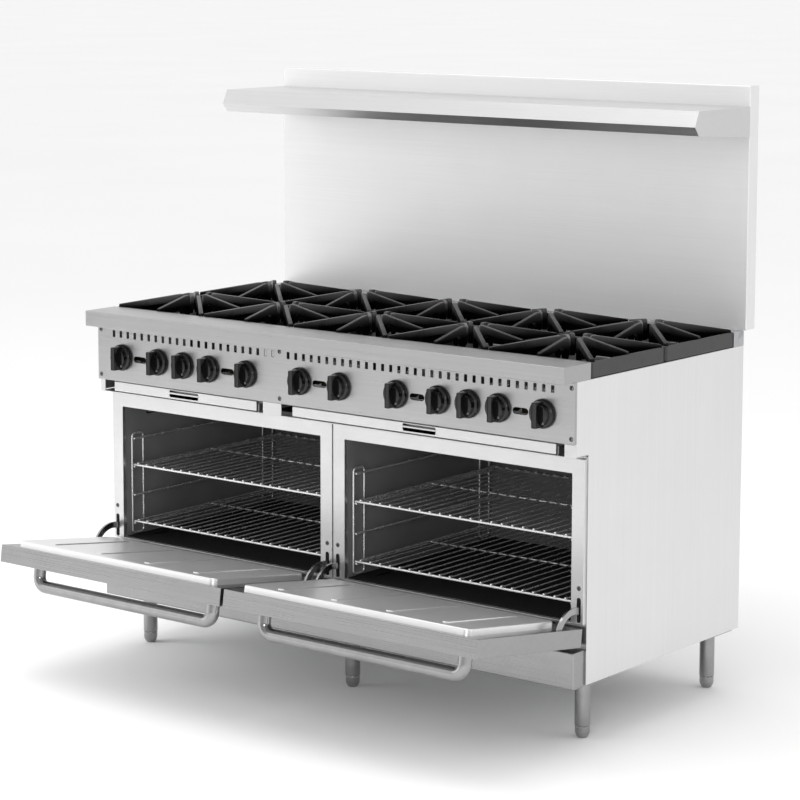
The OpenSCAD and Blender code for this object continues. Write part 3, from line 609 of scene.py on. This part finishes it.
# Lighter, less metallic copies of the same stainless steel: painted light on the door liners and the backguard.
STEEL_LINER_PAINTED_LIGHT = brushed("door_liner_steel", "X", base=0.76, rough=0.36, wave=0.0009, aniso=0.0, metal=0.72)
STEEL_BACK_PAINTED_LIGHT = brushed("brushed_steel_backguard", "X", base=0.76, rough=0.44, wave=0.0005, aniso=0.0, metal=0.62)
HINGE = brushed("hinge_steel", "Z", base=0.36, rough=0.22, aniso=0.0)
SCREW = plated("screw_plate", 0.22, 0.22)
WIRE = plated("rack_wire", 0.78, 0.24, metal=0.75)
TUBE = plated("polished_tube", 0.33, 0.11)
GALV = dull_sheet("plated_sheet")
IRON = cast("grate_iron", 0.017, 0.34)
# Grate iron with painted shade low down and a painted highlight on the fin noses.
IRON_PAINTED_SHADE = painted_shade_copy(IRON)
BURNER = cast("burner_iron", 0.012, 0.68, 0.0003)
KNOB = moulded("knob_black", 0.0025, 0.10)
TICK = moulded("knob_mark", 0.13, 0.4)
ENAMEL = enamel("oven_enamel", 0.16, 0.44)
PLATE = enamel("oven_floor_enamel", 0.008, 0.6, 0.15)
PIPE = drawn_metal("gas_pipe", (0.30, 0.30, 0.31), 0.42)
# Brass coloured near black: painted shade of the control box round the valves and thermostats.
BRASS_PAINTED_SHADE = drawn_metal("valve_brass", (0.022, 0.018, 0.012), 0.6)
# Near-black painted shade: the walls of the control panel's holes, the screw heads' recesses and the line round each
# head.
PAINTED_SHADE_BLACK = cast("painted_shade_sheet", 0.012, 0.7, 0.0001)


# ------------------------------------------------------------------ from the CAD nodes

def body_of(node):
    """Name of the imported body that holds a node."""
    for b in ("door_left", "door_right"):
        if node.startswith(b):
            return b
    moving = ("knob_", "thermostat_knob", "rack_left", "rack_right", "crumb_tray", "grate_")
    return node if node.startswith(moving) else "range_body"


def round_edges(bm, angle, width, segments):
    """Bevels the edges that turn by more than the angle."""
    edges = [e for e in bm.edges if e.is_manifold and e.calc_face_angle(0.0) > math.radians(angle)]
    bmesh.ops.bevel(bm, geom=edges, offset=width, segments=segments, affect="EDGES", clamp_overlap=True,
                    profile=0.5)


def refined(node, mat, bevel):
    """The node's own solid with its folded and cut edges softened by so many millimetres."""
    bm = bmesh.new()
    bm.from_mesh(NODES[node].data)
    bmesh.ops.remove_doubles(bm, verts=bm.verts, dist=2e-6)
    bmesh.ops.dissolve_limit(bm, angle_limit=math.radians(0.4), verts=bm.verts, edges=bm.edges)
    round_edges(bm, 30, bevel * MM, 2)
    mesh = bpy.data.meshes.new(node + "_soft")
    bm.to_mesh(mesh)
    bm.free()
    mesh.materials.append(mat)
    mesh.polygons.foreach_set("use_smooth", [True] * len(mesh.polygons))
    mesh.set_sharp_from_angle(angle=math.radians(32))
    place(node + "_soft", mesh, body_of(node), [node])


def softened(piece, width, angle, segments=2):
    """A copy of a closed piece with bevelled edges."""
    mesh = bpy.data.meshes.new("tmp")
    mesh.from_pydata([tuple(p) for p in piece.v], [], piece.f)
    bm = bmesh.new()
    bm.from_mesh(mesh)
    bpy.data.meshes.remove(mesh)
    bmesh.ops.remove_doubles(bm, verts=bm.verts, dist=1e-3)
    bmesh.ops.recalc_face_normals(bm, faces=bm.faces)
    round_edges(bm, angle, width, segments)
    out = Piece()
    bm.verts.index_update()
    out.add([v.co.copy() for v in bm.verts], [[v.index for v in f.verts] for f in bm.faces])
    bm.free()
    return out


# ------------------------------------------------------------------ body and cooktop

_, HALF, PANEL_FRONT, _, PANEL_LOW, DECK = box_mm("control_panel")
KNOB_Z = sum(box_mm("knob_1")[4:]) / 2
COLUMN = 304.8                               # one column of burners
DOOR_X = round(JOINTS["door_right_hinge"]["pos_m"][0] / MM, 1)

for n, mat, slot, bev in (
        ("side_panel_left", STEEL_Z, "stainless_steel", 0.9), ("side_panel_right", STEEL_Z, "stainless_steel", 0.9),
        ("back_panel", GALV, "galvanised_sheet", 0.6), ("base_pan", GALV, "galvanised_sheet", 0.6),
        ("burner_box", STEEL_X, "stainless_steel", 0.6), ("oven_liners", ENAMEL, "oven_enamel", 0.5),
        ("oven_floor_plates", PLATE, "oven_enamel", 0.5), ("oven_burners", BURNER, "cast_iron", 1.0),
        ("gas_manifold", PIPE, "pipe_steel", 0.6), ("gas_valves", BRASS_PAINTED_SHADE, "valve_brass", 0.6),
        ("oven_thermostats", BRASS_PAINTED_SHADE, "valve_brass", 0.6), ("backguard_supports", GALV, "galvanised_sheet", 0.6),
        ("hinge_brackets", HINGE, "hinge_steel", 0.8), ("high_shelf", STEEL_X, "stainless_steel", 0.7),
        ("door_left_pan", STEEL_DOOR_PAINTED_SHADE, "stainless_steel", 0.9), ("door_right_pan", STEEL_DOOR_PAINTED_SHADE, "stainless_steel", 0.9),
        ("door_left_hinge_arms", HINGE, "hinge_steel", 0.8), ("door_right_hinge_arms", HINGE, "hinge_steel", 0.8)):
    refined(n, mat, bev)

# Control panel: vents with two of them blanked, pilot slots, knob stem holes and screw holes
VENT_PITCH = 25.05
VENT_Z = DECK - 20.5
KNOB_PITCH = 63.5                            # each burner knob's distance from the middle of its column
vents = [(i - 28.05) * VENT_PITCH for i in range(57)]
holes = [slot_hole(x, VENT_Z, 8.8, 17.2, 1.2) for i, x in enumerate(vents) if i != 23]
holes += [slot_hole(c * COLUMN, KNOB_Z - 1, 44, 16, 7.8, 5) for c in range(-2, 3)]
knob_x = [c * COLUMN + s * KNOB_PITCH for c in range(-2, 3) for s in (-1, 1)] + [-1.5 * COLUMN, 1.5 * COLUMN]
holes += [round_hole(x, KNOB_Z, 7.0) for x in knob_x]
SCREW_HOLE = 2.6
SCREWS = [(x, z) for x in (-750, -130, 753) for z in (863, 744)]
holes += [round_hole(x, z, SCREW_HOLE, 16) for x, z in SCREWS]
p = Piece()
# The walls of the vents, slots and holes take the near-black painted shade.
pan(p, -HALF, HALF, PANEL_LOW, DECK, PANEL_FRONT, -50, 2.2, 2.6, holes, 2.0, 0.3, wall=1)
for x in vents[21:23]:
    block(p, (x - 3.6, -58.9, VENT_Z - 7.9), (x + 3.6, -57.6, VENT_Z + 7.9), 0.5)
p.build("control_panel_sheet", [STEEL_PANEL_PAINTED_SHADE, PAINTED_SHADE_BLACK], "range_body", ["control_panel"], "stainless_steel")

# Landing ledge: rolled front edge, closed ends
p = Piece()
x0, x1, y0, y1, z0, z1 = box_mm("front_ledge")
along_x(p, fillet([(y0, z0), (y1, z0), (y1, z1), (y0, z1)], [1.6, 0.6, 1.2, 2.2]), x0, x1)
softened(p, 0.7, 40).build("front_ledge_sheet", [STEEL_PANEL_PAINTED_SHADE], "range_body", ["front_ledge"], "stainless_steel")

# Kick panel
p = Piece()
x0, x1, y0, y1, z0, z1 = box_mm("kick_panel")
pan(p, x0, x1, z0, z1, y0, y1, 3.0, 3.2)
p.build("kick_panel_sheet", [STEEL_DOOR_PAINTED_SHADE], "range_body", ["kick_panel"], "stainless_steel")

# Oven fronts: rear sheet with slots for the arms and the fixed lugs, and a raised frame round each mouth
ARM_X = 364                                  # hinge arm slots and screws, from the middle of the oven
LUG_X = 286
ARM_SCREW_Z = 383
SIDES = (-1, 1)
mouths = [slot_hole(s * DOOR_X, 476, 684, 354, 2) for s in SIDES]
arm_slots = [slot_hole(s * DOOR_X + e * ARM_X, 330, 11, 60, 3) for s in SIDES for e in SIDES]
lug_slots = [slot_hole(s * DOOR_X + e * LUG_X, 270, 10, 39, 1) for s in SIDES for e in SIDES]
p = Piece()
flat_face(p, rrect(-759.9, 759.9, 236.5, 694, 0.5), mouths + arm_slots + lug_slots, 0.0, 1, 2.0, 0.3)
for s, mouth in zip(SIDES, mouths):
    x0, x1 = sorted((s * 1.5, s * 759))
    arm_x = [s * DOOR_X + e * ARM_X for e in SIDES]
    cuts = [mouth] + [slot_hole(x, 330, 11, 60, 5.4, 5) for x in arm_x]
    cuts += [round_hole(x, ARM_SCREW_Z, SCREW_HOLE, 16) for x in arm_x]
    pan(p, x0, x1, 296, 690, box_mm("oven_front_frame")[2], 0, 2.2, 3.0, cuts, 9.5, 0.9, back="open")
p.build("oven_front_sheets", [STEEL_X], "range_body", ["oven_front_frame"], "stainless_steel")


def screw(p, x, y, z, h):
    """Domed head of height h with a dark recess of painted shade and a painted shadow line round its edge."""
    here = at(x, y, z) @ TO_FRONT
    lathe(p, [(2.0, -6.0), (2.0, 0.0), (5.0, 0.02), (4.9, h * 0.35), (4.2, h * 0.75), (3.2, h)], 20, 0, here)
    # Painted shade in the head's recess.
    lathe(p, [(3.2, h), (3.0, h - 0.25), (0.0, h - 0.4)], 20, 1, here)
    # Painted shadow line round the head's edge.
    lathe(p, [(5.9, 0.0), (5.9, 0.08), (5.0, 0.1)], 20, 1, here)


p = Piece()
for x, z in SCREWS:
    screw(p, x, PANEL_FRONT, z, 2.0)
for s in SIDES:
    for e in SIDES:
        screw(p, s * DOOR_X + e * ARM_X, -10, ARM_SCREW_Z, 0.7)
p.build("panel_screw_heads", [SCREW, PAINTED_SHADE_BLACK], "range_body", ["panel_screws"], "bright_chrome")

# Backguard
p = Piece()
x0, x1, y0, y1, z0, z1 = box_mm("backguard")
pan(p, x0, x1, z0, z1, y0, y1, 2.4, 2.6)
p.build("backguard_sheet", [STEEL_BACK_PAINTED_LIGHT], "range_body", ["backguard"], "stainless_steel")

# Legs with their plates, and feet, as (radius, height) profiles
LEG = [(6.2, 30.5), (16, 30.0), (18.4, 30.5), (19, 32), (19, 62), (19, 141), (19.5, 142.5), (19.5, 144), (16, 144)]
FOOT = [(0, 0), (9.5, 0), (11.8, 0.7), (13.0, 2.2), (16.4, 8.5), (17.7, 12.5), (18, 16), (18, 27.6), (17.5, 29.2),
        (16.2, 30), (6, 30), (6, 60), (0, 60)]
legs, feet = Piece(), Piece()
for lx in (-705, 0, 705):
    for ly in (70, 628):
        lathe(legs, LEG, 48, 0, at(lx, ly, 0))
        block(legs, (lx - 45, ly - 45, 144), (lx + 45, ly + 45, 148), 1.2)
        lathe(feet, FOOT, 48, 0, at(lx, ly, 0))
legs.build("leg_tubes", [TUBE], "range_body", ["legs"], "bright_chrome")
feet.build("bullet_feet", [TUBE], "range_body", ["feet"], "bright_chrome")

# ------------------------------------------------------------------ burners and grates

PORTED = "ported"                            # a level of the port ring that the ports are cut into
BELL = [(9, -8), (9, 0), (14.5, 4), (17, 4.4), (17, 2.5), (14.5, -4), (12.4, -12)]
HEAD = [(12, 781), (16, 783), (17, 796), (24, 820), (33, 838), (43.5, 843.2), (46, 845.0), (46, 851),
        (PORTED, 852), (PORTED, 858), (46, 859), (45.2, 860), (42.0, 861.2), (24, 869.2), (21, 870),
        (14.5, 869.4), (13, 868), (13, 850), (0.01, 850)]
MOUTH_Y = 8


def burner(p, mx, hx, hy):
    """Cast burner: venturi with a bell mouth at mx, and a head at hx, hy with cut ports and a hub hole."""
    neck = (mx + (hx - mx) * 0.1, MOUTH_Y + 30, KNOB_Z)
    tube(p, bent([(mx, MOUTH_Y + 6, KNOB_Z), neck, (hx, hy, KNOB_Z)], 30, 5), 12, 20)
    lathe(p, BELL, 28, 0, at(mx, MOUTH_Y + 4, KNOB_Z) @ TO_FRONT)
    rings = []
    for r, z in HEAD:
        ring = []
        for k, (c, s) in enumerate(around(144)):
            rr = (42.8 if k % 4 == 0 else 46.0) if r == PORTED else r
            ring.append(Vector((hx + rr * c, hy + rr * s, z)))
        rings.append(ring)
    p.add(flat(rings), grid_faces(rings))


p = Piece()
for c in range(-2, 3):
    burner(p, COLUMN * c + KNOB_PITCH, COLUMN * c, 164.25)
    burner(p, COLUMN * c - KNOB_PITCH, COLUMN * c, 480.75)
p.build("burner_castings", [BURNER], "range_body", ["top_burners"], "cast_iron", angle=30)


def fin(a, b):
    """Fin along +X from a to b with cast draft: rounded nose, and underside that sweeps down to the frame."""
    side = fillet([(a, 938), (a + 0.8, 905), (a + 5, 892), (a + 13, 891), (a + 25, 926), (b, 904), (b, 921.5),
                   (a + 16, 946), (a + 4.5, 946.5)], [10, 6, 5, 7, 14, 2, 2.5, 12, 3.5])
    verts = []
    for e in (-1, 1):
        for q in side:
            half = 6.6 - 1.6 * max(0.0, min(1.0, (q.y - 892) / 54))
            verts.append(Vector((q.x, e * half, q.y)))
    p = Piece()
    p.add(verts, prism(len(side)))
    return softened(p, 1.5, 60, 3)


# One grate about its own middle: a frame as (inset, height) levels, with eight fins inside it
x0, x1, y0, y1, _, _ = box_mm("grate_front_1")
half_w, half_l = round((x1 - x0) / 2, 2), round((y1 - y0) / 2, 2)
RIM = [(3.4, 876), (2.8, 877.4), (0.4, 879.4), (0, 881), (0.25, 911.6), (0.8, 913.7), (2.4, 915),
       (6.6, 915), (8.2, 913.7), (8.7, 911.6), (9.3, 881), (8.2, 877), (7.2, 876), (3.4, 876)]
OUTER_LEVELS = 7
p = Piece()
rings = []
for off, z in RIM:
    corner = 8.0 if off < 5 else 14.5
    rings.append([Vector((q.x, q.y, z)) for q in rrect(-half_w, half_w, -half_l, half_l, corner, off)])
walls = grid_faces(rings)
outside = OUTER_LEVELS * len(rings[0])
p.add(flat(rings), walls[:outside])
# The inner walls and the fins take the copy with painted shade and highlight; the outer walls keep the plain iron.
p.add(flat(rings), walls[outside:], 1)
fin_x, fin_y, fin_corner = fin(18, half_w - 3.5), fin(34, half_l - 3.5), fin(34, 208.5)
for k, shape in enumerate((fin_x, fin_corner, fin_y, fin_corner) * 2):
    p.join(shape, 1, rot(45 * k, "Z"))
grate_mesh = p.mesh("grate", [IRON, IRON_PAINTED_SHADE], 38)
SEAT_GAP = 0.001      # a seated grate stays clear of the faces that carry it by this much
for n in ["grate_%s_%d" % (row, i) for row in ("front", "rear") for i in range(1, 6)]:
    mid = middle(n)
    place(n + "_casting", grate_mesh, n, [n], (mid.x, mid.y, SEAT_GAP * MM))

# ------------------------------------------------------------------ knobs

# Skirt as (radius, height), grip bar as (half width, half length, height, corner radius), and pointer mark
SKIRT = [(4, -30), (4, -1), (4, 0), (33.4, 0.0), (34.6, 0.4), (35, 1.4), (34.9, 3.0), (33.9, 6.2), (32.6, 8.2),
         (30.8, 9.0), (28.2, 9.1), (27.4, 9.6), (26.8, 11), (25.2, 16.6), (24.2, 18.4), (22.2, 19.2), (12, 19.5),
         (0, 19.6)]
GRIP = [(8.0, 31.4, 8.8, 2.6), (7.6, 31.2, 10, 2.6), (7.2, 30.8, 20, 2.4), (7.0, 30.4, 34.2, 2.2),
        (6.5, 29.9, 35.6, 2.0), (5.6, 29.0, 36.2, 1.6), (4.6, 28.0, 36.0, 1.2), (4.2, 27.6, 35.2, 1.0)]
SKIRT_BACK_Y = -61.5                         # 2 mm in front of the control panel
drawn = Piece()
lathe(drawn, SKIRT, 72)
rings = [[Vector((q.x, q.y, z)) for q in rrect(-hw, hw, -hl, hl, r, 0, 5)] for hw, hl, z, r in GRIP]
drawn.add(flat(rings), grid_faces(rings) + ends(rings)[1:])
mark = Piece()
block(mark, (13.0, -21.5, 18.6), (17.5, -16.5, 19.9), 0.5)
drawn.join(mark, 1)
knob_mesh = Piece().join(drawn, move=TO_FRONT).mesh("knob", [KNOB, TICK], 34)
for n in sorted(NODES):
    if "knob" in n:
        mid = middle(n)
        place(n + "_moulding", knob_mesh, n, [n], (mid.x, Y0 + SKIRT_BACK_Y * MM, mid.z))

# ------------------------------------------------------------------ doors

# Drawn shut about the hinge pin, then turned to the open rest pose
GRIP_X = 298.5
HANDLE_Z = 327
PAN_FRONT_Y = -22
for side in ("left", "right"):
    hinge = JOINTS["door_%s_hinge" % side]
    pin = hinge["pos_m"]
    hang = at(pin[0] / MM, (pin[1] - Y0) / MM, pin[2] / MM) @ rot(hinge["range_deg"][1], "X")
    body = "door_" + side
    # Pressed liner with four ribs
    p = Piece()
    edge = [(0.0, 22.0), (0.4, 30.0), (1.0, 34.5), (2.2, 36.8), (4.4, 37.8), (7.0, 38.0)]
    rings = [[Vector((q.x, y, q.y)) for q in rrect(-337, 337, 37, 377, 16, off, 6)] for off, y in edge]
    p.add(flat(rings), grid_faces(rings), flip=True)
    ribs = [slot_hole(x, 207, 18, 280, 8.8, 5) for x in (-245, -82, 82, 245)]
    v, f = face_with_holes([(q.x, q.z) for q in rings[-1]], [h(2.5) for h in ribs])
    p.add([Vector((q.x, 38.0, q.y)) for q in v], f, flip=True)
    for h in ribs:
        steps = ((2.5, 38.0), (0.5, 37.4), (0.0, 38.0), (-0.3, 39.6), (-1.0, 40.0))
        loops = [[Vector((q.x, y, q.y)) for q in h(g)] for g, y in steps]
        p.add(flat(loops), grid_faces(loops), flip=True)
        p.add(loops[-1], [tuple(range(len(loops[-1]) - 1, -1, -1))])
    hung = Piece().join(p, move=hang)
    hung.build(body + "_liner_press", [STEEL_LINER_PAINTED_LIGHT], body, ["door_%s_liner" % side], "stainless_steel", 50)
    # Tube handle with a weld ring at each end
    p = Piece()
    path = [(-GRIP_X, PAN_FRONT_Y, HANDLE_Z), (-GRIP_X, -76, HANDLE_Z), (GRIP_X, -76, HANDLE_Z),
            (GRIP_X, PAN_FRONT_Y, HANDLE_Z)]
    tube(p, bent(path, 38, 12), 16, 32, rounded=False)
    for x in (-GRIP_X, GRIP_X):
        ring = [(16.0, 0.0), (18.6, 0.0), (18.2, 1.0), (16.6, 2.6), (16.0, 3.4)]
        lathe(p, ring, 32, 0, at(x, PAN_FRONT_Y, HANDLE_Z) @ TO_FRONT)
    hung = Piece().join(p, move=hang)
    hung.build(body + "_handle_tube", [TUBE], body, ["door_%s_handle" % side], "bright_chrome")

# ------------------------------------------------------------------ ovens

# Guides on the side walls: looped posts at the front and back, and four rungs that carry the racks
RUNG_Z = [335 + 76.5 * i for i in range(4)]
p = Piece()
for s in SIDES:
    for e in SIDES:
        post = s * DOOR_X + e * 338
        rung = s * DOOR_X + e * 326
        for y, y2 in ((20, 62), (590, 548)):
            foot = (post, (y + y2) / 2, 306)
            loop = [foot, (post, y, 306), (post, y, 576), (post, y2, 576), (post, y2, 306), foot]
            tube(p, bent(loop, 10, 5), 3.0, 12)
        for z in RUNG_Z:
            tube(p, [(rung, 16, z), (rung, 594, z)], 3.0, 14)
            for y in (20, 590):
                tube(p, [(post, y, z), (rung, y, z)], 1.7, 8)
p.build("rack_guide_wires", [WIRE], "range_body", ["rack_guides"], "bright_chrome")

# Racks: two side bars, two end bars, a middle bar, and rows of thin wires with blunt front ends
RACK_HALF = 326
WIRE_PITCH = 31
WIRES = 21
for n in ("rack_left_lower", "rack_left_upper", "rack_right_lower", "rack_right_upper"):
    cx = -DOOR_X if "left" in n else DOOR_X
    z = RUNG_Z[2 if "upper" in n else 0] + 5.8
    p = Piece()
    for x in (cx - RACK_HALF, cx + RACK_HALF):
        tube(p, [(x, 18, z), (x, 592, z)], 3.0, 14)
    for y in (18, 592):
        tube(p, [(cx - 328, y, z), (cx + 328, y, z)], 3.1, 14)
    tube(p, [(cx - RACK_HALF, 305, z + 2), (cx + RACK_HALF, 305, z + 2)], 2.5, 10)
    for i in range(WIRES):
        x = cx + (i - (WIRES - 1) / 2) * WIRE_PITCH
        path = [(x, 13.4, z + 5.4), (x, 20.4, z + 5.4), (x, 22, z + 4.6), (x, 593.5, z + 4.6)]
        tube(p, path, 2.0, 8, radii=[2.9, 2.9, 2.0, 2.0])
    p.build(n + "_wires", [WIRE], n, [n], "bright_chrome")

# ------------------------------------------------------------------ crumb trays

# Tray as (inset, height) levels from its underside, over its rim and down to its floor
TRAY = [(0.6, 699.3), (0, 699.9), (0, 718.2), (0.3, 718.9), (0.75, 719.2), (1.2, 718.9), (1.5, 718.2), (1.5, 702.5),
        (2.4, 701.2), (4, 701.0)]
PULL = 100.0
FRONT_BACK_Y = -40
for n in ("crumb_tray_left", "crumb_tray_right"):
    x0, x1, y0, y1, _, z1 = box_mm(n)
    mid = (x0 + x1) / 2
    p = Piece()
    # Front with a pull recess and its lip
    recess = [slot_hole(mid, 715, PULL, 18, 3.5)]
    pan(p, x0, x1, 701, z1, y0, FRONT_BACK_Y, 2.0, 2.2, recess, 1.5, 0.5, back="closed", lip_r=2.0)
    lip = fillet([(-52, 713.6), (-46, 713.6), (-46, 719.4), (-52, 719.4)], [2.4, 0.5, 0.5, 2.4])
    along_x(p, lip, mid - PULL / 2 - 0.4, mid + PULL / 2 + 0.4)
    rings = [[Vector((q.x, q.y, z)) for q in rrect(x0, x1, FRONT_BACK_Y, y1, 3, off, 3)] for off, z in TRAY]
    p.add(flat(rings), grid_faces(rings) + ends(rings)[::-1])
    p.build(n + "_sheet", [STEEL_X], n, [n], "stainless_steel")

# ------------------------------------------------------------------ floor, light, camera

FLOOR_HALF = 150                             # metres
floor_mat, nt, b, coord = new_material("studio_floor")
nt.links.new(grey(nt, spread(nt, noise(nt, coord, 0.5, 3.0, 0.5), 0.93, 0.95)), b.inputs["Base Color"])
b.inputs["Roughness"].default_value = 0.85
b.inputs["Specular IOR Level"].default_value = 0.2
floor_mesh = bpy.data.meshes.new("studio_floor")
corners = [(x * FLOOR_HALF, y * FLOOR_HALF, 0) for x, y in ((-1, -1), (1, -1), (1, 1), (-1, 1))]
floor_mesh.from_pydata(corners, [], [(0, 1, 2, 3)])
floor_mesh.materials.append(floor_mat)
floor = bpy.data.objects.new("studio_floor", floor_mesh)
scene.collection.objects.link(floor)

# Studio light: brightest in front on the left, dimmer in front on the right, even behind and above
world = bpy.data.worlds.new("studio")
scene.world = world
world.use_nodes = True
nt = world.node_tree
back = nt.nodes["Background"]
back.inputs["Color"].default_value = (1.0, 1.0, 1.0, 1.0)
where = nt.nodes.new("ShaderNodeTexCoord")
axes = nt.nodes.new("ShaderNodeSeparateXYZ")
nt.links.new(where.outputs["Generated"], axes.inputs["Vector"])
ahead = spread(nt, axes.outputs["Y"], 1.0, 0.0, -0.45, 0.15)
across = spread(nt, axes.outputs["X"], 1.7, 0.55, -0.74, -0.44)
high = spread(nt, axes.outputs["Z"], 0.0, 1.0, 0.45, 0.95)
level = calc(nt, "ADD", calc(nt, "MULTIPLY", ahead, across), calc(nt, "SUBTRACT", 1.0, ahead))
level = calc(nt, "MULTIPLY", level, calc(nt, "SUBTRACT", 1.0, high))
level = calc(nt, "ADD", level, calc(nt, "MULTIPLY", high, 1.05))
nt.links.new(level, back.inputs["Strength"])


def area(name, stand, target, w, h, power):
    """Rectangular lamp of so many watts that points at its target."""
    light = bpy.data.lights.new(name, "AREA")
    light.shape = "RECTANGLE"
    light.size, light.size_y = w, h
    light.energy = power
    ob = bpy.data.objects.new(name, light)
    scene.collection.objects.link(ob)
    ob.location = stand
    ob.rotation_euler = (Vector(target) - Vector(stand)).to_track_quat("-Z", "Y").to_euler()
    return ob


area("key_left", (-3.3, -2.7, 1.7), (-0.7, 0, 0.9), 2.2, 2.2, 75).visible_glossy = False
area("rear_right", (4.6, 1.6, 2.2), (0.7, 0.1, 0.7), 2.4, 2.4, 12)
area("oven_front", (2.4, -3.6, 1.5), (-0.2, 0.1, 0.45), 1.2, 1.0, 30)
area("top", (-0.4, -0.8, 4.4), (0, 0, 0.8), 3.2, 2.4, 45)

# Camera at the photograph's angle
YAW, PITCH, ROLL = 0.6672, 0.1322, 0.0021    # radians
LENS = 120.07035
STAND = (4173.34, -5037.39, 1867.22)         # in the drawing's millimetres
cam_data = bpy.data.cameras.new("camera")
cam_data.sensor_width = 36.0
cam_data.lens = LENS
cam_data.shift_y = -0.125
cam_data.clip_end = 400.0
look = Vector((-math.sin(YAW) * math.cos(PITCH), math.cos(YAW) * math.cos(PITCH), -math.sin(PITCH)))
level_right = Vector((math.cos(YAW), math.sin(YAW), 0.0))
level_up = level_right.cross(look)
right = level_right * math.cos(ROLL) + level_up * math.sin(ROLL)
up = level_up * math.cos(ROLL) - level_right * math.sin(ROLL)
turned = Matrix((right, up, -look)).transposed().to_4x4()
cam = bpy.data.objects.new("camera", cam_data)
scene.collection.objects.link(cam)
cam.matrix_world = at(STAND[0] * MM, STAND[1] * MM + Y0, STAND[2] * MM) @ turned
scene.camera = cam

scene.view_settings.view_transform = "Standard"
scene.view_settings.look = "None"
